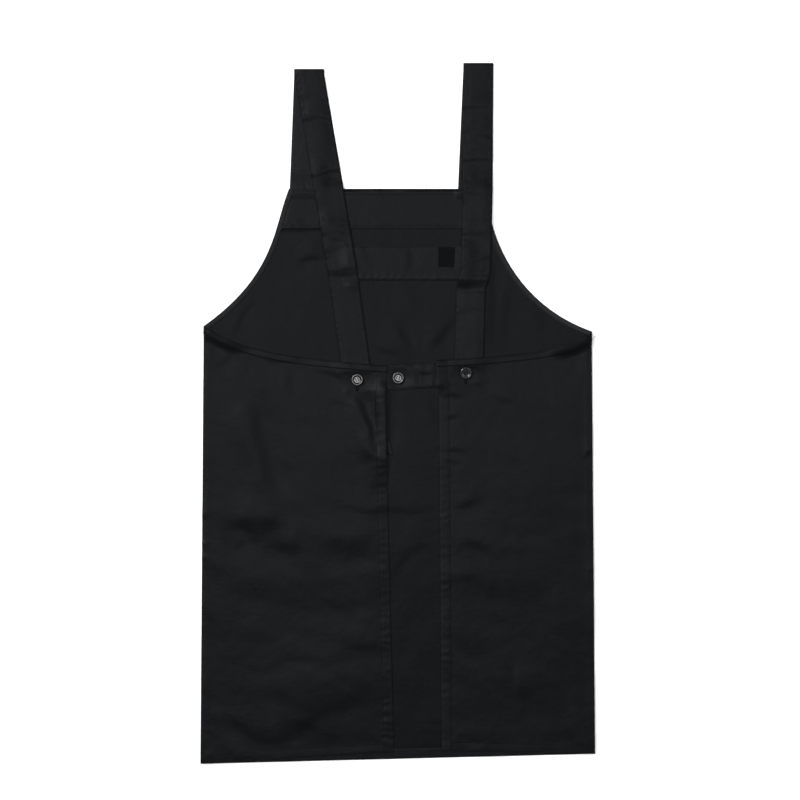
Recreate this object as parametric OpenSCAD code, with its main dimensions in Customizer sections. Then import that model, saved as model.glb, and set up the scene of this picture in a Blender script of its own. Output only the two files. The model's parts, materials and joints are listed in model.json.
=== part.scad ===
// Smock apron with an H-shaped back, lying flat with its back up.
// The bib and the front of the skirt lie underneath. Two back panels wrap over them from the
// sides, a waist tab buttons the panels together, and two wide shoulder straps, joined by a
// cross band, run from the bib over the shoulder folds to the tops of the back panels.
// X runs to the right, Y towards the shoulders, Z up from the surface that it lies on.
// The origin is the middle of the part's box, on that surface.

/* [Overall] */
// Length from the lowest hem corner to the top of the straps
overall_l = 1052; // [1000:1:1100]
// Width along the hem
hem_w = 592; // [585:1:600]
// Width between the two underarm points
underarm_w = 582; // [570:1:585]

/* [Cloth] */
// Thickness of one ply of cloth
ply = 0.8; // [0.6:0.1:1]
// Thickness of a strap, which is folded from two plies
strap_t = 1.2; // [1.2:0.1:1.6]
// Clearance between pieces that fold apart
fold_gap = 0.3; // [0.3:0.05:0.6]

/* [Bib] */
// Height of the bib's top edge above the origin
bib_top_y = 337; // [320:1:350]
// Width of the bib's top edge
bib_w = 299; // [280:1:310]
// Middle of the bib's top edge
bib_x = -13.5; // [-20:0.5:0]
// Height of the facing inside the bib's top
facing_h = 60; // [40:1:80]
// Width of the binding along each armhole
armhole_binding_w = 8; // [6:1:12]
// Height of the underarm points above the origin
underarm_y = 127; // [115:1:135]
// How far the left underarm point lies above that, and the right one below it
underarm_tilt = 4; // [0:1:8]

/* [Skirt] */
// How much higher the right end of the hem lies than the left end
hem_rise = 15; // [0:1:25]
// Height of the turned hem
hem_h = 15; // [10:1:20]
// Width of the seam allowance along each side
side_seam_w = 10; // [6:1:14]

/* [Back panels] */
// Where the left panel's centre edge starts, at the waist
left_edge_waist_x = -15; // [-22:1:-13]
// Where the left panel's centre edge ends, at the hem
left_edge_hem_x = -6; // [-20:1:0]
// Where the right panel's centre edge starts, at the waist
right_edge_waist_x = 58; // [50:1:66]
// Where the right panel's centre edge ends, at the hem
right_edge_hem_x = 66; // [56:1:76]
// Height of the left panel's top edge at the centre
left_waist_y = 71; // [68:1:75]
// Height of the right panel's top edge at the centre
right_waist_y = 80; // [76:1:84]
// How far the panels' centre corners lie above the front hem
panel_hem_lift = 11; // [6:1:16]
// Width of the facing turned under along each centre edge
placket_w = 14; // [10:1:18]
// Width of the binding along the panels' top edges
waist_binding_w = 11; // [8:1:13]
// Height at which each panel's lower corner starts to fold back, on its centre edge
fold_top_y = 20; // [0:1:24]
// Where that fold meets the hem, from the middle
fold_hem_x = 236; // [180:1:250]

/* [Straps] */
// Width of the straps
strap_w = 45; // [38:1:46]
// Height of the left shoulder fold below the right one
left_strap_drop = 9; // [0:1:20]
// Length of each folded shoulder end
shoulder_fold_l = 8; // [6:1:14]

/* [Cross band] */
// Height of the cross band's middle above the origin
band_y = 225; // [215:1:240]
// Height of the cross band
band_h = 50; // [40:1:56]

/* [Waist tab] */
// Length of the tab, most of it under the back panels
tab_l = 200; // [190:1:215]
// Height of the tab
tab_h = 35; // [30:1:36]
// Slope of the tab, in degrees
tab_slope = 4; // [0:0.5:6]
// Height of the tab's middle above the origin
tab_y = 55.5; // [54:0.5:58]

/* [Buttons] */
// Diameter of a button
button_d = 18; // [15:0.5:18]
// Thickness of a button at its rim
button_t = 3; // [2.4:0.1:3.4]
// Diameter of a button's thread holes
button_hole_d = 1.8; // [1.6:0.1:2]
// Distance between neighbouring thread holes
button_hole_pitch = 3.6; // [3.4:0.1:4]
// Largest tilt of a button on its thread shank, in degrees
button_tilt = 12; // [6:1:14]
// Length of a buttonhole's slit
buttonhole_l = 20; // [19:1:22]

/* [Pockets] */
// Width of a front patch pocket
pocket_w = 170; // [120:1:190]
// Height of a front patch pocket
pocket_h = 185; // [120:1:210]
// Height of the pockets' mouths above the origin
pocket_mouth_y = -55; // [-120:1:-40]
// Distance between the two pockets
pocket_spacing = 64; // [40:1:90]

/* [Hidden] */

LEFT = 0;
RIGHT = 1;
CLOTH = "#222426";
LINING = "#2a2c2f";
THREAD = "#17181a";
BUTTON = "#0c0d0e";
SMOOTH = 64;
FAR = 2000;

// Heights of the layers, from the surface up
z_front = ply;
z_lining = z_front + ply;
z_tab = z_lining + ply;
z_strap = z_tab + ply;
z_back = z_strap + strap_t;
z_turned = z_back - ply;
z_binding = z_back + ply;

// Corners of the bib, the underarms and the hem, left then right
bib_corner = [[bib_x - bib_w / 2, bib_top_y], [bib_x + bib_w / 2, bib_top_y]];
underarm = [
    [-underarm_w / 2, underarm_y + underarm_tilt],
    [underarm_w / 2, underarm_y - underarm_tilt]
];
hem_corner = [[-hem_w / 2, -overall_l / 2], [hem_w / 2, -overall_l / 2 + hem_rise]];

// Armholes: each leaves the bib and reaches the underarm along these two tangents
armhole_leave = [[-23, -54], [-4, -64]];
armhole_arrive = [[110, 78], [-116, 41]];
armhole = [for (side = [LEFT, RIGHT]) bezier(
    bib_corner[side], bib_corner[side] + armhole_leave[side],
    underarm[side] + armhole_arrive[side], underarm[side]
)];
armhole_inner = [
    beside(armhole[LEFT], armhole_binding_w),
    beside(armhole[RIGHT], -armhole_binding_w)
];

// Back panels: the top edge runs from the underarm to the centre edge
waist_corner = [[left_edge_waist_x, left_waist_y], [right_edge_waist_x, right_waist_y]];
panel_hem_corner = [
    [left_edge_hem_x, front_hem_y(left_edge_hem_x) + panel_hem_lift],
    [right_edge_hem_x, front_hem_y(right_edge_hem_x) + panel_hem_lift]
];
waist_leave = [[61, -45], [-20, -26]];
waist_arrive = [[-110, 10], [140, 6]];
waist_edge = [for (side = [LEFT, RIGHT]) bezier(
    underarm[side], underarm[side] + waist_leave[side],
    waist_corner[side] + waist_arrive[side], waist_corner[side]
)];
waist_edge_inner = [
    beside(waist_edge[LEFT], -waist_binding_w),
    beside(waist_edge[RIGHT], waist_binding_w)
];

// Fold lines of the lower back corners, from the centre edge to the hem
fold_start = [[left_edge_waist_x - 4, fold_top_y], [right_edge_waist_x + 4, fold_top_y]];
fold_end = [
    [-fold_hem_x, front_hem_y(-fold_hem_x)],
    [fold_hem_x, front_hem_y(fold_hem_x)]
];

// Straps: middle lines, from the shoulder fold down, left then right
strap_top_y = [overall_l / 2 - left_strap_drop, overall_l / 2];
strap_top_x = [-133, 121];
strap_front_x = [-139.5, 113];
strap_back_x = [-103.5, 120];
strap_back_line = [
    [[strap_back_x[LEFT], bib_top_y], [-82, 207], [-63, left_waist_y]],
    [[strap_back_x[RIGHT], bib_top_y], [117, 212], [110, 186], [107, right_waist_y]]
];
fold_radius = (z_back - z_front) / 2;

// Buttons and their buttonholes, left, middle, right
button_at = [[-60.7, 50.2], [0.7, 53], [102.1, 60.4]];
buttonhole_below = [0, -5];
shank_d = 2.4;
slit_w = 3.6;
buttonhole_stitch_w = 1.8;
buttonhole_stitch_t = 0.4;
tilt_room = button_d / 2 * sin(button_tilt) + 0.4;
button_z = [
    z_binding + buttonhole_stitch_t + tilt_room,
    z_strap + tilt_room,
    z_binding + buttonhole_stitch_t + tilt_room
];
tab_x = 20.5;

// Height of the front hem at x
function front_hem_y(x) = -overall_l / 2 + hem_rise * (x + hem_w / 2) / hem_w;

function unit(v) = v / norm(v);
function to_left(v) = [-v.y, v.x];
function reversed(points) = [for (i = [len(points) - 1 : -1 : 0]) points[i]];
function bezier(a, b, c, d, steps = 20) = [
    for (i = [0 : steps])
    let (t = i / steps, s = 1 - t)
    s * s * s * a + 3 * s * s * t * b + 3 * s * t * t * c + t * t * t * d
];

// The curve moved sideways, to the left of its own direction
function beside(points, distance) = [
    for (i = [0 : len(points) - 1])
    let (before = points[max(i - 1, 0)], after = points[min(i + 1, len(points) - 1)])
    points[i] + distance * to_left(unit(after - before))
];

// A strip that runs mostly along Y, with its ends cut across
function strip(middle, width) = concat(
    [for (p = middle) p - [width / 2, 0]],
    [for (p = reversed(middle)) p + [width / 2, 0]]
);

module layer(z, thickness = ply) {
    translate([0, 0, z]) linear_extrude(thickness) children();
}

// Everything on the lower centre side of a panel's fold line, moved away from it by shift
module beyond_fold(side, shift = 0) {
    run = fold_end[side] - fold_start[side];
    translate(fold_start[side]) rotate(atan2(run.y, run.x))
        translate([-FAR / 2, side == LEFT ? shift : -FAR - shift]) square([FAR, FAR]);
}

module front_outline(inner = false) {
    left_curve = inner ? armhole_inner[LEFT] : armhole[LEFT];
    right_curve = inner ? armhole_inner[RIGHT] : armhole[RIGHT];
    polygon(concat(left_curve, hem_corner, reversed(right_curve)));
}

// The strip along the front hem, between the side seams
module front_hem_outline() {
    difference() {
        intersection() {
            front_outline();
            polygon([
                hem_corner[LEFT] - [0, hem_h], hem_corner[RIGHT] - [0, hem_h],
                hem_corner[RIGHT] + [0, hem_h], hem_corner[LEFT] + [0, hem_h]
            ]);
        }
        side_seam_outline(LEFT);
        side_seam_outline(RIGHT);
    }
}

module panel_outline(side) {
    edge_knee = fold_start[side] + [0, 4];
    polygon(concat(waist_edge[side], [edge_knee, panel_hem_corner[side], hem_corner[side]]));
}

// The strip along the panel's hem, clear of the side seam and of the placket
module panel_hem_outline(side) {
    corner = hem_corner[side];
    centre = panel_hem_corner[side];
    difference() {
        intersection() {
            panel_outline(side);
            polygon([
                corner - [0, hem_h], centre - [0, hem_h],
                centre + [0, hem_h], corner + [0, hem_h]
            ]);
        }
        side_seam_outline(side);
        placket_outline(side);
    }
}

module placket_outline(side) {
    inward = side == LEFT ? 1 : -1;
    knee = fold_start[side];
    intersection() {
        panel_outline(side);
        polygon([
            knee + [inward * placket_w, 0], knee - [inward * placket_w, 0],
            panel_hem_corner[side] - [inward * placket_w, hem_h],
            panel_hem_corner[side] + [inward * placket_w, -hem_h]
        ]);
    }
}

module slot(length, width) {
    straight = length - width;
    square([width, straight], center = true);
    for (end = [-1, 1]) translate([0, end * straight / 2]) circle(d = width, $fn = SMOOTH);
}

// Buttonholes are numbered as their buttons
function button_of(side) = side == LEFT ? 0 : 2;

module buttonhole_slit(side) {
    translate(button_at[button_of(side)] + buttonhole_below) slot(buttonhole_l, slit_w);
}

module front_panel() {
    color(CLOTH) layer(z_front) front_outline();
}

module front_hem() {
    color(CLOTH) layer(z_lining) front_hem_outline();
}

module pocket(side) {
    middle = (side == LEFT ? -1 : 1) * (pocket_spacing + pocket_w) / 2;
    chamfer = pocket_w / 7;
    color(CLOTH) layer(0) translate([middle, pocket_mouth_y - pocket_h]) polygon([
        [-pocket_w / 2 + chamfer, 0], [pocket_w / 2 - chamfer, 0], [pocket_w / 2, chamfer],
        [pocket_w / 2, pocket_h], [-pocket_w / 2, pocket_h], [-pocket_w / 2, chamfer]
    ]);
}

module bib_facing() {
    color(LINING) layer(z_lining) intersection() {
        front_outline(inner = true);
        translate([-FAR / 2, bib_top_y - facing_h]) square([FAR, facing_h]);
    }
}

module armhole_binding(side) {
    color(LINING) layer(z_lining) difference() {
        intersection() {
            polygon(concat(armhole[side], reversed(armhole_inner[side])));
            front_outline();
        }
        side_seam_outline(side);
    }
}

module side_seam_outline(side) {
    inward = (side == LEFT ? 1 : -1) * side_seam_w;
    polygon([
        underarm[side] - [0, armhole_binding_w], hem_corner[side],
        hem_corner[side] + [inward, 0], underarm[side] + [inward, -armhole_binding_w]
    ]);
}

module side_seam(side) {
    color(CLOTH) layer(z_lining, z_back - z_lining) side_seam_outline(side);
}

module back_panel(side) {
    color(CLOTH) layer(z_back) difference() {
        panel_outline(side);
        beyond_fold(side, -fold_gap / 2);
        buttonhole_slit(side);
    }
}

module waist_binding(side) {
    color(LINING) layer(z_binding) intersection() {
        polygon(concat(waist_edge[side], reversed(waist_edge_inner[side])));
        panel_outline(side);
    }
}

module back_hem(side) {
    color(CLOTH) layer(z_turned) difference() {
        panel_hem_outline(side);
        beyond_fold(side, -fold_gap / 2);
    }
}

module buttonhole(side) {
    color(THREAD) layer(z_binding, buttonhole_stitch_t) difference() {
        translate(button_at[button_of(side)] + buttonhole_below)
            slot(buttonhole_l + 2 * buttonhole_stitch_w, slit_w + 2 * buttonhole_stitch_w);
        buttonhole_slit(side);
    }
}

module back_flap(side) {
    color(CLOTH) layer(z_back) intersection() {
        panel_outline(side);
        beyond_fold(side, fold_gap / 2);
    }
}

module flap_placket(side) {
    color(LINING) layer(z_turned) intersection() {
        placket_outline(side);
        beyond_fold(side, fold_gap / 2);
    }
}

module flap_hem(side) {
    color(CLOTH) layer(z_turned) intersection() {
        panel_hem_outline(side);
        beyond_fold(side, fold_gap / 2);
    }
}

// The strap's run over the bib, from the bib's top edge down to the back panel
module strap_back(side) {
    color(CLOTH) layer(z_strap, strap_t) polygon(strip(strap_back_line[side], strap_w));
}

module strap_run(side, z, foot_x) {
    color(CLOTH) layer(z, strap_t) polygon(strip([
        [strap_top_x[side], strap_top_y[side] - shoulder_fold_l],
        [foot_x, bib_top_y + fold_gap]
    ], strap_w));
}

module strap_front(side) {
    strap_run(side, z_front, strap_front_x[side]);
}

module strap_upper(side) {
    strap_run(side, z_strap, strap_back_x[side]);
}

// The shoulder fold: both layers meet in a half-round bend that opens downwards along Y
module strap_shoulder(side) {
    bend_y = strap_top_y[side] - fold_radius;
    straight = shoulder_fold_l - fold_radius;
    color(CLOTH)
        translate([strap_top_x[side] - strap_w / 2, bend_y, z_front + fold_radius])
        rotate([90, 0, 90]) linear_extrude(strap_w) difference() {
            union() {
                circle(r = fold_radius, $fn = SMOOTH);
                translate([-straight, -fold_radius]) square([straight, 2 * fold_radius]);
            }
            circle(r = fold_radius - strap_t, $fn = SMOOTH);
            translate([-straight - 1, strap_t - fold_radius])
                square([straight + 1, 2 * (fold_radius - strap_t)]);
        }
}

// The band reaches from one strap's inner edge to the other's
module cross_band() {
    color(CLOTH) layer(z_strap, strap_t) difference() {
        translate([strap_back_line[LEFT][1].x, band_y - band_h / 2])
            square([strap_back_line[RIGHT][1].x - strap_back_line[LEFT][1].x, band_h]);
        for (side = [LEFT, RIGHT]) polygon(strip(strap_back_line[side], strap_w));
    }
}

module tab_outline() {
    translate([tab_x, tab_y]) rotate(tab_slope) square([tab_l, tab_h], center = true);
}

module waist_tab() {
    color(CLOTH) layer(z_tab) tab_outline();
}

module waist_tab_lining() {
    color(LINING) layer(z_lining) tab_outline();
}

module at_button(index) {
    translate([button_at[index].x, button_at[index].y, button_z[index]]) children();
}

module at_thread_holes() {
    for (x = [-1, 1], y = [-1, 1])
        translate([x * button_hole_pitch / 2, y * button_hole_pitch / 2]) children();
}

// A dished button: raised rounded rim, sunk middle, four thread holes
module button(index) {
    r = button_d / 2;
    rim = button_t / 2;
    dish_r = r - 1.5 * rim;
    dish_t = button_t * 0.7;
    color(BUTTON) at_button(index) difference() {
        rotate_extrude($fn = SMOOTH) {
            square([r - rim, dish_t]);
            translate([dish_r, 0]) square([r - rim - dish_r, button_t]);
            translate([r - rim, rim]) intersection() {
                circle(r = rim, $fn = SMOOTH);
                translate([0, -rim]) square([rim, button_t]);
            }
        }
        at_thread_holes() translate([0, 0, -1])
            cylinder(d = button_hole_d, h = button_t + 2, $fn = SMOOTH);
    }
}

// Thread through the four holes, with two bars across the sunk middle
module button_thread(index) {
    dish_t = button_t * 0.7;
    strand = 0.8;
    color(THREAD) at_button(index) {
        at_thread_holes() cylinder(d = strand, h = dish_t + strand, $fn = 24);
        for (x = [-1, 1]) translate([x * button_hole_pitch / 2, 0, dish_t + strand / 2])
            cube([strand, button_hole_pitch, strand], center = true);
    }
}

// The wound thread between the tab and the button, through the buttonhole
module button_shank(index) {
    shank_room = 0.6;
    color(THREAD) translate([button_at[index].x, button_at[index].y, z_strap])
        cylinder(d = shank_d, h = button_z[index] - z_strap - shank_room, $fn = SMOOTH);
}

front_panel();
front_hem();
pocket(LEFT);  // pocket_left
pocket(RIGHT);  // pocket_right
bib_facing();
armhole_binding(LEFT);  // armhole_binding_left
armhole_binding(RIGHT);  // armhole_binding_right
side_seam(LEFT);  // side_seam_left
side_seam(RIGHT);  // side_seam_right
back_panel(LEFT);  // back_panel_left
back_panel(RIGHT);  // back_panel_right
waist_binding(LEFT);  // waist_binding_left
waist_binding(RIGHT);  // waist_binding_right
back_hem(LEFT);  // back_hem_left
back_hem(RIGHT);  // back_hem_right
buttonhole(LEFT);  // buttonhole_left
buttonhole(RIGHT);  // buttonhole_right
back_flap(LEFT);  // back_flap_left
back_flap(RIGHT);  // back_flap_right
flap_placket(LEFT);  // flap_placket_left
flap_placket(RIGHT);  // flap_placket_right
flap_hem(LEFT);  // flap_hem_left
flap_hem(RIGHT);  // flap_hem_right
strap_back(LEFT);  // strap_left_back
strap_back(RIGHT);  // strap_right_back
strap_front(LEFT);  // strap_left_front
strap_upper(LEFT);  // strap_left_upper
strap_shoulder(LEFT);  // strap_left_shoulder
strap_front(RIGHT);  // strap_right_front
strap_upper(RIGHT);  // strap_right_upper
strap_shoulder(RIGHT);  // strap_right_shoulder
cross_band();
waist_tab();
waist_tab_lining();
button(0);  // button_left
button(1);  // button_middle
button(2);  // button_right
button_thread(0);  // button_thread_left
button_thread(1);  // button_thread_middle
button_thread(2);  // button_thread_right
button_shank(0);  // button_shank_left
button_shank(1);  // button_shank_middle
button_shank(2);  // button_shank_right
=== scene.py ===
import json
import math

import bmesh
import bpy
import numpy as np
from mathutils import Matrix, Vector


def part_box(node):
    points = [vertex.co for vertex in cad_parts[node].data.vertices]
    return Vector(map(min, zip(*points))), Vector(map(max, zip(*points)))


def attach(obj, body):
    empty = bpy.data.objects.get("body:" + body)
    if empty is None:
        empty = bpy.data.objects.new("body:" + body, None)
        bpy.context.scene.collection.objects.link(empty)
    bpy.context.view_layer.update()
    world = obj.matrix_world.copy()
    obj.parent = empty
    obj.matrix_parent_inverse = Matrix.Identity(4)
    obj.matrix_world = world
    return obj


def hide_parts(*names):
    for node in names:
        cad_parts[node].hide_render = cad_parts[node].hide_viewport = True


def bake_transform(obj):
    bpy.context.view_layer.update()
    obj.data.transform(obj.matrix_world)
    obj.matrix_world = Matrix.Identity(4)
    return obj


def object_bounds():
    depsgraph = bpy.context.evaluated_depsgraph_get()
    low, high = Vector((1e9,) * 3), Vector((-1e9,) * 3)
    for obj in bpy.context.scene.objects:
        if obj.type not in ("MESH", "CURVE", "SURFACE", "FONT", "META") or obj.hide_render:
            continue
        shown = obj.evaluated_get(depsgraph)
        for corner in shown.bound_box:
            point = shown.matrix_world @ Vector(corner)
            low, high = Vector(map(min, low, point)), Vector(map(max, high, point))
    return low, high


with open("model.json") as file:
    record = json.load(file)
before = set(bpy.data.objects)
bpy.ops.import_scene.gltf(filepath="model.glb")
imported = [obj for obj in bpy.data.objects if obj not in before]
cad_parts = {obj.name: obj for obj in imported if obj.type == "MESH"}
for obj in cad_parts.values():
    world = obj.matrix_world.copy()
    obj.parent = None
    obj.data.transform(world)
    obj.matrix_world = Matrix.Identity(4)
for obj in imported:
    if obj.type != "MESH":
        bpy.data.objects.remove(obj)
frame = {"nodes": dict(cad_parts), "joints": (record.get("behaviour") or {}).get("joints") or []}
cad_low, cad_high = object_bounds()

# Shapes are worked out in millimetres, in the frame of the CAD model, and built in metres.
MM = 0.001
LEFT, RIGHT = 0, 1
SIDES = ("left", "right")

# Cloth
PLY = 0.7            # one ply of twill
STRAP = 0.9          # a strap, folded from two plies
AIR = 0.12           # air between two layers that rest on each other
CELL = 1.5           # spacing of the height map
GRAIN = 3.0          # spacing of the sheets' meshes
STRAP_GRAIN = 2.0    # spacing of the straps' meshes
STITCH = 3.2         # stitch pitch
STITCH_SHARE = 0.85  # how much of its pitch a stitch covers
STITCH_RADIUS = 0.3
WEAR_REACH = 3.0     # how far the rubbed border of a sheet reaches in
MARGIN = 12.0        # room around the part in the height map

# Towards the shadow side of a fold, for light that comes from the upper left
SHADE = np.array([1.0, -1.0]) / math.sqrt(2)


# ---------------------------------------------------------------- curves and outlines

def node_box(name):
    low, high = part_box(name)
    return np.array(low) / MM, np.array(high) / MM


def outline(name):
    """The outer edge of a flat CAD node's upper face, anticlockwise, in mm."""
    mesh = frame["nodes"][name].data
    points = np.array([v.co for v in mesh.vertices]) / MM
    top = points[:, 2].max() - 0.02
    corner, keys = {}, []
    for p in points:
        keys.append((round(p[0], 2), round(p[1], 2)))
        corner[keys[-1]] = p[:2]
    mesh.calc_loop_triangles()
    edges = set()
    for triangle in mesh.loop_triangles:
        a, b, c = triangle.vertices
        if min(points[a][2], points[b][2], points[c][2]) < top:
            continue
        for edge in ((keys[a], keys[b]), (keys[b], keys[c]), (keys[c], keys[a])):
            if edge[::-1] in edges:
                edges.remove(edge[::-1])
            else:
                edges.add(edge)
    after = dict(edges)
    loops = []
    while after:
        start = next(iter(after))
        loop = [start]
        while loop[-1] in after:
            loop.append(after.pop(loop[-1]))
        loops.append(np.array([corner[k] for k in loop[:-1]]))
    return max(loops, key=area)


def area(points):
    x, y = points[:, 0], points[:, 1]
    return abs(np.dot(x, np.roll(y, -1)) - np.dot(y, np.roll(x, -1))) / 2


def farthest(points, direction):
    return int(np.argmax(points @ np.array(direction, float)))


def run_between(points, start, end):
    """The outline's points from index start to index end, anticlockwise."""
    count = (end - start) % len(points)
    return points[[(start + i) % len(points) for i in range(count + 1)]]


def lengths(points):
    steps = np.linalg.norm(np.diff(points, axis=0), axis=1)
    return np.concatenate([[0], np.cumsum(steps)])


def spaced(points, count):
    """The polyline as count + 1 points, evenly spaced."""
    points = np.asarray(points, float)
    at = lengths(points)
    wanted = np.linspace(0, at[-1], count + 1)
    return np.stack([np.interp(wanted, at, points[:, k]) for k in range(points.shape[1])], axis=1)


CURVE_STEPS = 24     # points of a curve between two given ones


def curve(points):
    """A smooth curve through given points (Catmull-Rom)."""
    points = np.asarray(points, float)
    padded = np.vstack([2 * points[0] - points[1], points, 2 * points[-1] - points[-2]])
    found = []
    for i in range(1, len(padded) - 2):
        a, b, c, d = padded[i - 1:i + 3]
        for t in np.linspace(0, 1, CURVE_STEPS, endpoint=False):
            found.append(0.5 * (2 * b + (c - a) * t + (2 * a - 5 * b + 4 * c - d) * t * t
                                + (3 * b - a - 3 * c + d) * t ** 3))
    return np.array(found + [points[-1]])


def beside(points, distance):
    """The polyline moved to the left of its own direction."""
    points = np.asarray(points, float)
    along = np.gradient(points, axis=0)
    along /= np.linalg.norm(along, axis=1)[:, None]
    return points + distance * np.stack([-along[:, 1], along[:, 0]], axis=1)


def smooth(t):
    t = np.clip(t, 0, 1)
    return t * t * (3 - 2 * t)


def crossing(points, y):
    """Lowest and highest x at which the outline crosses the height y."""
    xs = []
    for (x1, y1), (x2, y2) in zip(points, np.roll(points, -1, axis=0)):
        if min(y1, y2) <= y <= max(y1, y2) and abs(y2 - y1) > 1e-9:
            xs.append(x1 + (x2 - x1) * (y - y1) / (y2 - y1))
        elif abs(y2 - y1) <= 1e-9 and abs(y - y1) < 1e-6:
            xs += [x1, x2]
    return min(xs), max(xs)


# ---------------------------------------------------------------- the height map

low_mm, high_mm = np.array(cad_low) / MM, np.array(cad_high) / MM
ORIGIN = low_mm[:2] - MARGIN
COUNT = np.ceil((high_mm[:2] - low_mm[:2] + 2 * MARGIN) / CELL).astype(int) + 1
GX, GY = np.meshgrid(ORIGIN[0] + CELL * np.arange(COUNT[0]), ORIGIN[1] + CELL * np.arange(COUNT[1]))
terrain = np.zeros(GX.shape)     # height of the highest cloth so far, over each cell


def sample(field, x, y):
    """The field between its cells, at the points x, y."""
    u = np.clip((np.asarray(x) - ORIGIN[0]) / CELL, 0, COUNT[0] - 1.001)
    v = np.clip((np.asarray(y) - ORIGIN[1]) / CELL, 0, COUNT[1] - 1.001)
    i, j = u.astype(int), v.astype(int)
    u, v = u - i, v - j
    return ((field[j, i] * (1 - u) + field[j, i + 1] * u) * (1 - v)
            + (field[j + 1, i] * (1 - u) + field[j + 1, i + 1] * u) * v)


def shifted(field, by, axis):
    """The field moved by some cells, with its border repeated."""
    moved = np.roll(field, by, axis=axis)
    if axis == 0:
        if by > 0:
            moved[:by] = field[:1]
        elif by < 0:
            moved[by:] = field[-1:]
    else:
        if by > 0:
            moved[:, :by] = field[:, :1]
        elif by < 0:
            moved[:, by:] = field[:, -1:]
    return moved


def blurred(field, reach):
    """Gaussian blur, reach in mm."""
    cells = reach / CELL
    radius = max(1, int(round(2.5 * cells)))
    weights = np.exp(-0.5 * (np.arange(-radius, radius + 1) / cells) ** 2)
    weights /= weights.sum()
    for axis in (0, 1):
        field = sum(w * shifted(field, k - radius, axis) for k, w in enumerate(weights))
    return field


def swollen(field, reach):
    """The highest value within reach, in mm."""
    for _ in range(max(1, int(round(reach / CELL)))):
        for axis in (0, 1):
            field = np.maximum(field, np.maximum(shifted(field, 1, axis), shifted(field, -1, axis)))
    return field


def finer(field, times):
    """A patch's values on a mesh that is this many times as fine."""
    for axis in (0, 1):
        n = field.shape[axis]
        at = np.linspace(0, n - 1, (n - 1) * times + 1)
        i = np.minimum(at.astype(int), n - 2)
        t = (at - i).reshape((-1, 1) if axis == 0 else (1, -1))
        field = np.take(field, i, axis) * (1 - t) + np.take(field, i + 1, axis) * t
    return field


def on_map(x, y, values):
    """A patch's values on the height map, and where the patch covers it."""
    step = max(np.abs(np.diff(x, axis=1)).max(), np.abs(np.diff(y, axis=0)).max(), CELL)
    times = int(math.ceil(step / (0.6 * CELL)))
    fx, fy, fv = finer(x, times).ravel(), finer(y, times).ravel(), finer(values, times).ravel()
    i = np.rint((fx - ORIGIN[0]) / CELL).astype(int)
    j = np.rint((fy - ORIGIN[1]) / CELL).astype(int)
    cell = j * COUNT[0] + i
    hits = np.bincount(cell, minlength=GX.size)
    total = np.bincount(cell, weights=fv, minlength=GX.size)
    covered = hits > 0
    return (total / np.maximum(hits, 1)).reshape(GX.shape), covered.reshape(GX.shape)


def nearest(path, x, y):
    """Distance to a polyline, positive on its left, and how far along it the nearest point is."""
    best = np.full(np.shape(x), 1e9)
    signed, along = np.zeros(np.shape(x)), np.zeros(np.shape(x))
    at = lengths(path)
    for k in range(len(path) - 1):
        (ax, ay), (bx, by) = path[k], path[k + 1]
        dx, dy = bx - ax, by - ay
        size = max(dx * dx + dy * dy, 1e-9)
        t = np.clip(((x - ax) * dx + (y - ay) * dy) / size, 0, 1)
        ex, ey = x - ax - t * dx, y - ay - t * dy
        distance = np.hypot(ex, ey)
        closer = distance < best
        best = np.where(closer, distance, best)
        left = np.sign(dx * ey - dy * ex)
        signed = np.where(closer, distance * np.where(left == 0, 1, left), signed)
        along = np.where(closer, at[k] + t * math.sqrt(size), along)
    return signed, along


def region(path, reach):
    """The part of the map within reach of a path: a pair of slices."""
    path = np.asarray(path, float)
    low = np.floor((path.min(0) - reach - ORIGIN) / CELL).astype(int)
    high = np.ceil((path.max(0) + reach - ORIGIN) / CELL).astype(int) + 1
    low, high = np.maximum(low, 0), np.minimum(high, COUNT)
    return slice(low[1], high[1]), slice(low[0], high[0])


# ---------------------------------------------------------------- wrinkles

BUTTONS = ("left", "middle", "right")
button_box = {k: node_box("button_" + k) for k in BUTTONS}
BUTTON_AT = {k: (button_box[k][0][:2] + button_box[k][1][:2]) / 2 for k in BUTTONS}


def noise(seed, size, turn=0.0, stretch=1.0):
    """Smooth seeded noise from -1 to 1, with spots of this size in mm, longer along turn."""
    rng = np.random.default_rng(seed)
    c, s = math.cos(math.radians(turn)), math.sin(math.radians(turn))
    u = (GX * c + GY * s) / (size * stretch) + 40
    v = (GY * c - GX * s) / size + 600
    table = rng.uniform(-1, 1, (1400, 400))
    i, j = np.floor(u).astype(int), np.floor(v).astype(int)
    fu, fv = smooth(u - i), smooth(v - j)
    i, j = i % 399, j % 1399
    return ((table[j, i] * (1 - fu) + table[j, i + 1] * fu) * (1 - fv)
            + (table[j + 1, i] * (1 - fu) + table[j + 1, i + 1] * fu) * fv)


def held_down(relief):
    """The relief without its slack under the buttons, which need room to tilt."""
    for x, y in BUTTON_AT.values():
        relief = relief * (1 - 0.97 * np.exp(-((GX - x) ** 2 + (GY - y) ** 2) / 21 ** 2))
    return relief


# Cloth never folds along a clean curve: where the folds are, the map is bent a little
WANDER = 3.0
WX = GX + WANDER * noise(11, 24)
WY = GY + WANDER * noise(12, 24)


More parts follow.
